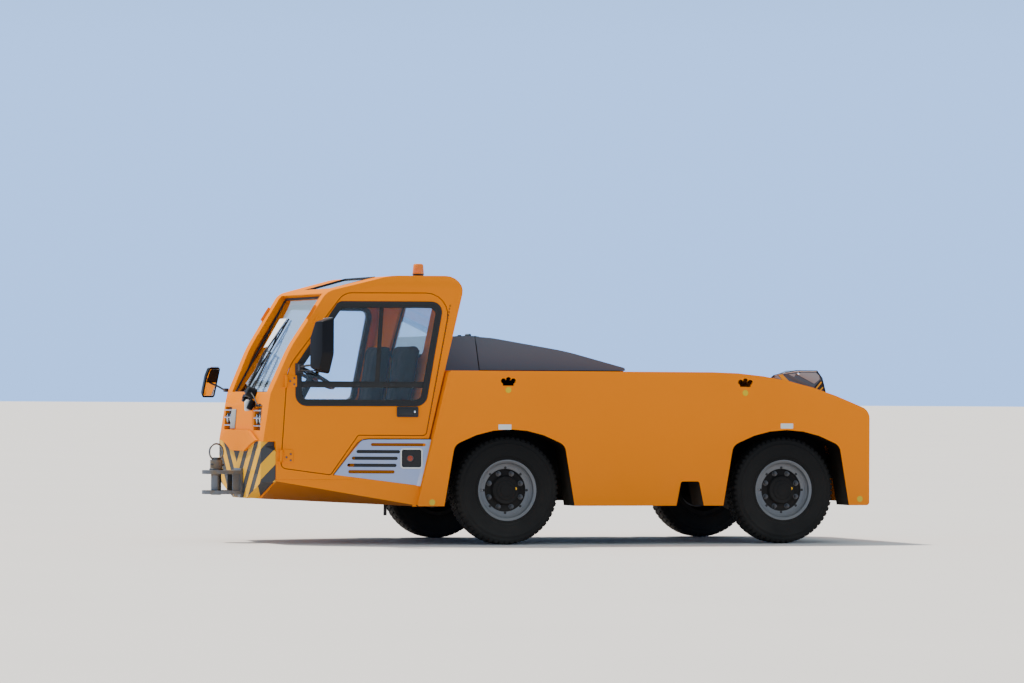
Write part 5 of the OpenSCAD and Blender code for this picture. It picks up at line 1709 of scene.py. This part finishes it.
class TRACTOR_OT_cab_inside(bpy.types.Operator):
    """Seats, steering wheel and instruments"""

    bl_idname = "tractor.cab_inside"
    bl_label = "Cab inside"

    def execute(self, context):
        self.seats()
        self.console()
        self.steering_wheel()
        return {"FINISHED"}

    def seats(self):
        """One cushion and one back, padded, with a copy of each on the other side."""
        place = Matrix.Translation((0, SEAT_Y, 0))
        for name, half, nodes, rows in SEAT_PADS:
            pad = plate(moved(rows, 0.012), half, -half, place, soft=0.024)
            pad_out(pad)
            sew(pad, name == "seat_cushion")
            other = again(pad, name + "_right", Matrix.Translation((0, -2 * SEAT_Y, 0)))
            build(name + "_left", "fabric", "seats", pad, nodes=nodes, angle=80)
            fit(other, "fabric", "seats", angle=80)
        for label, side in SIDES.items():
            y = side * SEAT_Y
            tubes = [tube([(x, y + off, z) for x, z in SEAT_TUBE], 0.011) for off in (-0.16, 0.16)]
            build("seat_frame_" + label, "plastic", "seats",
                  box((1.14, y - 0.19, 0.7995), (1.54, y + 0.19, 0.812), soft=0.003), *tubes,
                  rod((1.13, y + 0.226, 0.94), (1.13, y + 0.24, 0.94), 0.03, 28, soft=0.003))

    def console(self):
        """Instruments, switches and pedals."""
        hood = plate(HOOD_ROWS, 0.59, 0.18, Matrix.Identity(4), soft=0.008)
        build("instrument_hood", "plastic", "dashboard", hood)
        face = surface((1.9995, 0, 1.128), (-1, 0, 0), (0, 0, 1))
        dials = [lathe(DIAL_PROFILE, face @ Matrix.Translation((across, 0, 0)), 32) for across in DIALS_Y]
        build("dial_rims", "chrome", "dashboard", *dials)
        firsts = [SWITCH_PITCH * k for k in range(SWITCHES)]
        switches = [box((2.02, SWITCH_FIRST_Y + at, 1.088), (2.05, -0.372 + at, 1.108), soft=0.003)
                    for at in firsts]
        build("switches", "trim", "dashboard", *switches)
        tilt = Matrix.Translation((1.99, 0, 0.9)) @ Matrix.Rotation(math.radians(-35), 4, "Y")
        pedals = []
        for y in PEDALS_Y:
            pedals += [box((-0.006, y - 0.035, -0.045), (0.006, y + 0.035, 0.045), tilt, soft=0.003),
                       tube([(x, y, z) for x, z in PEDAL_STEM], 0.007)]
        build("pedals", "rubber", "dashboard", *pedals)

    def steering_wheel(self):
        tilt = Matrix.Translation((1.8, SEAT_Y, 1.29)) @ Matrix.Rotation(math.radians(-28), 4, "Y")
        place = tilt @ Y_UP
        angles = [math.tau * k / 14 for k in range(14)]
        grip = [(WHEEL_RADIUS + WHEEL_GRIP * math.cos(a), WHEEL_GRIP * math.sin(a)) for a in angles]
        build("wheel_and_column", "plastic", "steering_wheel",
              lathe(grip, place, 72), lathe(HUB_PROFILE, place, 40),
              *(box((0.04, -0.005, -0.016), (0.18, 0.005, 0.016), place @ turn, 0.003)
                for turn in round_y(3)),
              rod((0, 0, -0.455), (0, 0, -0.02), 0.03, 32, matrix=tilt, soft=0.002),
              tube(STALK_PATH, 0.006, tilt), nodes=["steering_wheel"])


# The photograph's camera, a long lens near the ground, out to the left and ahead: metres, degrees and mm
CAMERA_AT = (12.41, 37.6, 1.19)
CAMERA_YAW = 18.2
CAMERA_PITCH = 0.56
CAMERA_ROLL = 0.3
CAMERA_LENS = 175.78

# Colour of the sky, from just below the horizon to well above it
SKY_TONES = [
    (0.48, (0.5, 0.92, 1.85)), (0.534, (0.56, 0.98, 1.9)), (0.575, (0.44, 0.64, 0.92)),
    (0.72, (0.8, 0.92, 1.0)),
]
SKY_STRENGTH = 1.05
SUN_WIDTH = 5.0
SUN_COLOUR = (1.0, 0.95, 0.88)
SUN_TOWARDS = (-0.35, 0.45, -1.0)


class TRACTOR_OT_stage(bpy.types.Operator):
    """Makes the floor, the lights and the camera"""

    bl_idname = "tractor.stage"
    bl_label = "Stage"

    def execute(self, context):
        stage = settings("tractor_stage")
        self.floor(stage)
        self.sky()
        self.lights(stage)
        self.camera()
        return {"FINISHED"}

    def floor(self, stage):
        start()
        bpy.ops.mesh.primitive_circle_add(vertices=96, radius=stage.floor_radius, fill_type="NGON")
        obj = added("floor")
        material, graph, shader, vector = new_material("pale_floor")
        cloud = graph.node("ShaderNodeTexNoise", Scale=0.35, Detail=6.0)
        grain = graph.node("ShaderNodeTexNoise", Scale=160.0, Detail=3.0)
        graph.link(vector, cloud.inputs["Vector"])
        graph.link(vector, grain.inputs["Vector"])
        tone = tuple(stage.floor_tone)
        mixed = graph.blend_colour(cloud.outputs["Fac"], darker(tone, 0.93), tone)
        graph.link(mixed, shader.inputs["Base Color"])
        shader.inputs["Roughness"].default_value = 0.85
        bump(graph, shader, grain.outputs["Fac"], 0.12, 0.002)
        paint(obj, material)

    def sky(self):
        world = bpy.data.worlds.new("soft_sky")
        world.use_nodes = True
        bpy.context.scene.world = world
        graph = Graph(world.node_tree)
        background = world.node_tree.nodes["Background"]
        place = graph.node("ShaderNodeTexCoord")
        split = graph.node("ShaderNodeSeparateXYZ")
        graph.link(place.outputs["Generated"], split.inputs[0])
        ramp = graph.node("ShaderNodeValToRGB")
        steps = ramp.color_ramp.elements
        while len(steps) < len(SKY_TONES):
            steps.new(0.5)
        for step, (position, colour) in zip(steps, SKY_TONES):
            step.position = position
            step.color = (*colour, 1.0)
        lifted = graph.math("MULTIPLY", split.outputs["Z"], 0.5)
        graph.link(graph.math("ADD", lifted, 0.5), ramp.inputs["Fac"])
        graph.link(ramp.outputs["Color"], background.inputs["Color"])
        background.inputs["Strength"].default_value = SKY_STRENGTH

    def lights(self, stage):
        bpy.ops.object.light_add(type="SUN", location=(0, 0, 20))
        sun = added("key_light")
        sun.data.energy = stage.key_power
        sun.data.angle = math.radians(SUN_WIDTH)
        sun.data.color = SUN_COLOUR
        sun.rotation_euler = Vector(SUN_TOWARDS).to_track_quat("-Z", "Y").to_euler()

    def camera(self):
        yaw, pitch, roll = (math.radians(a) for a in (CAMERA_YAW, CAMERA_PITCH, CAMERA_ROLL))
        ahead = Vector((-math.sin(yaw) * math.cos(pitch), -math.cos(yaw) * math.cos(pitch), math.sin(pitch)))
        right = ahead.cross(Vector((0, 0, 1))).normalized()
        up = right.cross(ahead)
        turned_right = math.cos(roll) * right + math.sin(roll) * up
        turned_up = -math.sin(roll) * right + math.cos(roll) * up
        bpy.ops.object.camera_add()
        camera = bpy.context.active_object
        camera.name = "camera"
        camera.data.lens = CAMERA_LENS
        camera.data.sensor_width = 36.0
        camera.data.clip_end = 1500.0
        turn = Matrix((turned_right, turned_up, -ahead)).transposed().to_4x4()
        camera.matrix_world = Matrix.Translation(CAMERA_AT) @ turn
        bpy.context.scene.camera = camera


class TRACTOR_PT_panel(bpy.types.Panel):
    """The tractor's operators and settings"""

    bl_idname = "TRACTOR_PT_panel"
    bl_label = "Pushback Tractor"
    bl_space_type = "VIEW_3D"
    bl_region_type = "UI"
    bl_category = "Tractor"

    def draw(self, context):
        for group in (context.scene.tractor_paint, context.scene.tractor_stage):
            column = self.layout.column()
            for name in group.bl_rna.properties.keys():
                if name not in ("rna_type", "name"):
                    column.prop(group, name)
        for operator in OPERATORS:
            self.layout.operator(operator.bl_idname)


OPERATORS = [
    TRACTOR_OT_materials,
    TRACTOR_OT_stage,
    TRACTOR_OT_panels,
    TRACTOR_OT_front_weight,
    TRACTOR_OT_hump,
    TRACTOR_OT_body_details,
    TRACTOR_OT_steps,
    TRACTOR_OT_wheels,
    TRACTOR_OT_doors,
    TRACTOR_OT_cab_seals,
    TRACTOR_OT_front_pieces,
    TRACTOR_OT_mirrors,
    TRACTOR_OT_wipers,
    TRACTOR_OT_lamps,
    TRACTOR_OT_cab_inside,
]
GROUPS = {"tractor_paint": PaintSettings, "tractor_stage": StageSettings}


def register():
    for kind in [*GROUPS.values(), *OPERATORS, TRACTOR_PT_panel]:
        bpy.utils.register_class(kind)
    for name, kind in GROUPS.items():
        setattr(bpy.types.Scene, name, bpy.props.PointerProperty(type=kind))


def unregister():
    for name in GROUPS:
        delattr(bpy.types.Scene, name)
    for kind in reversed([*GROUPS.values(), *OPERATORS, TRACTOR_PT_panel]):
        bpy.utils.unregister_class(kind)


def main():
    register()
    for operator in OPERATORS:
        group, name = operator.bl_idname.split(".")
        getattr(getattr(bpy.ops, group), name)()


if __name__ == "__main__":
    main()
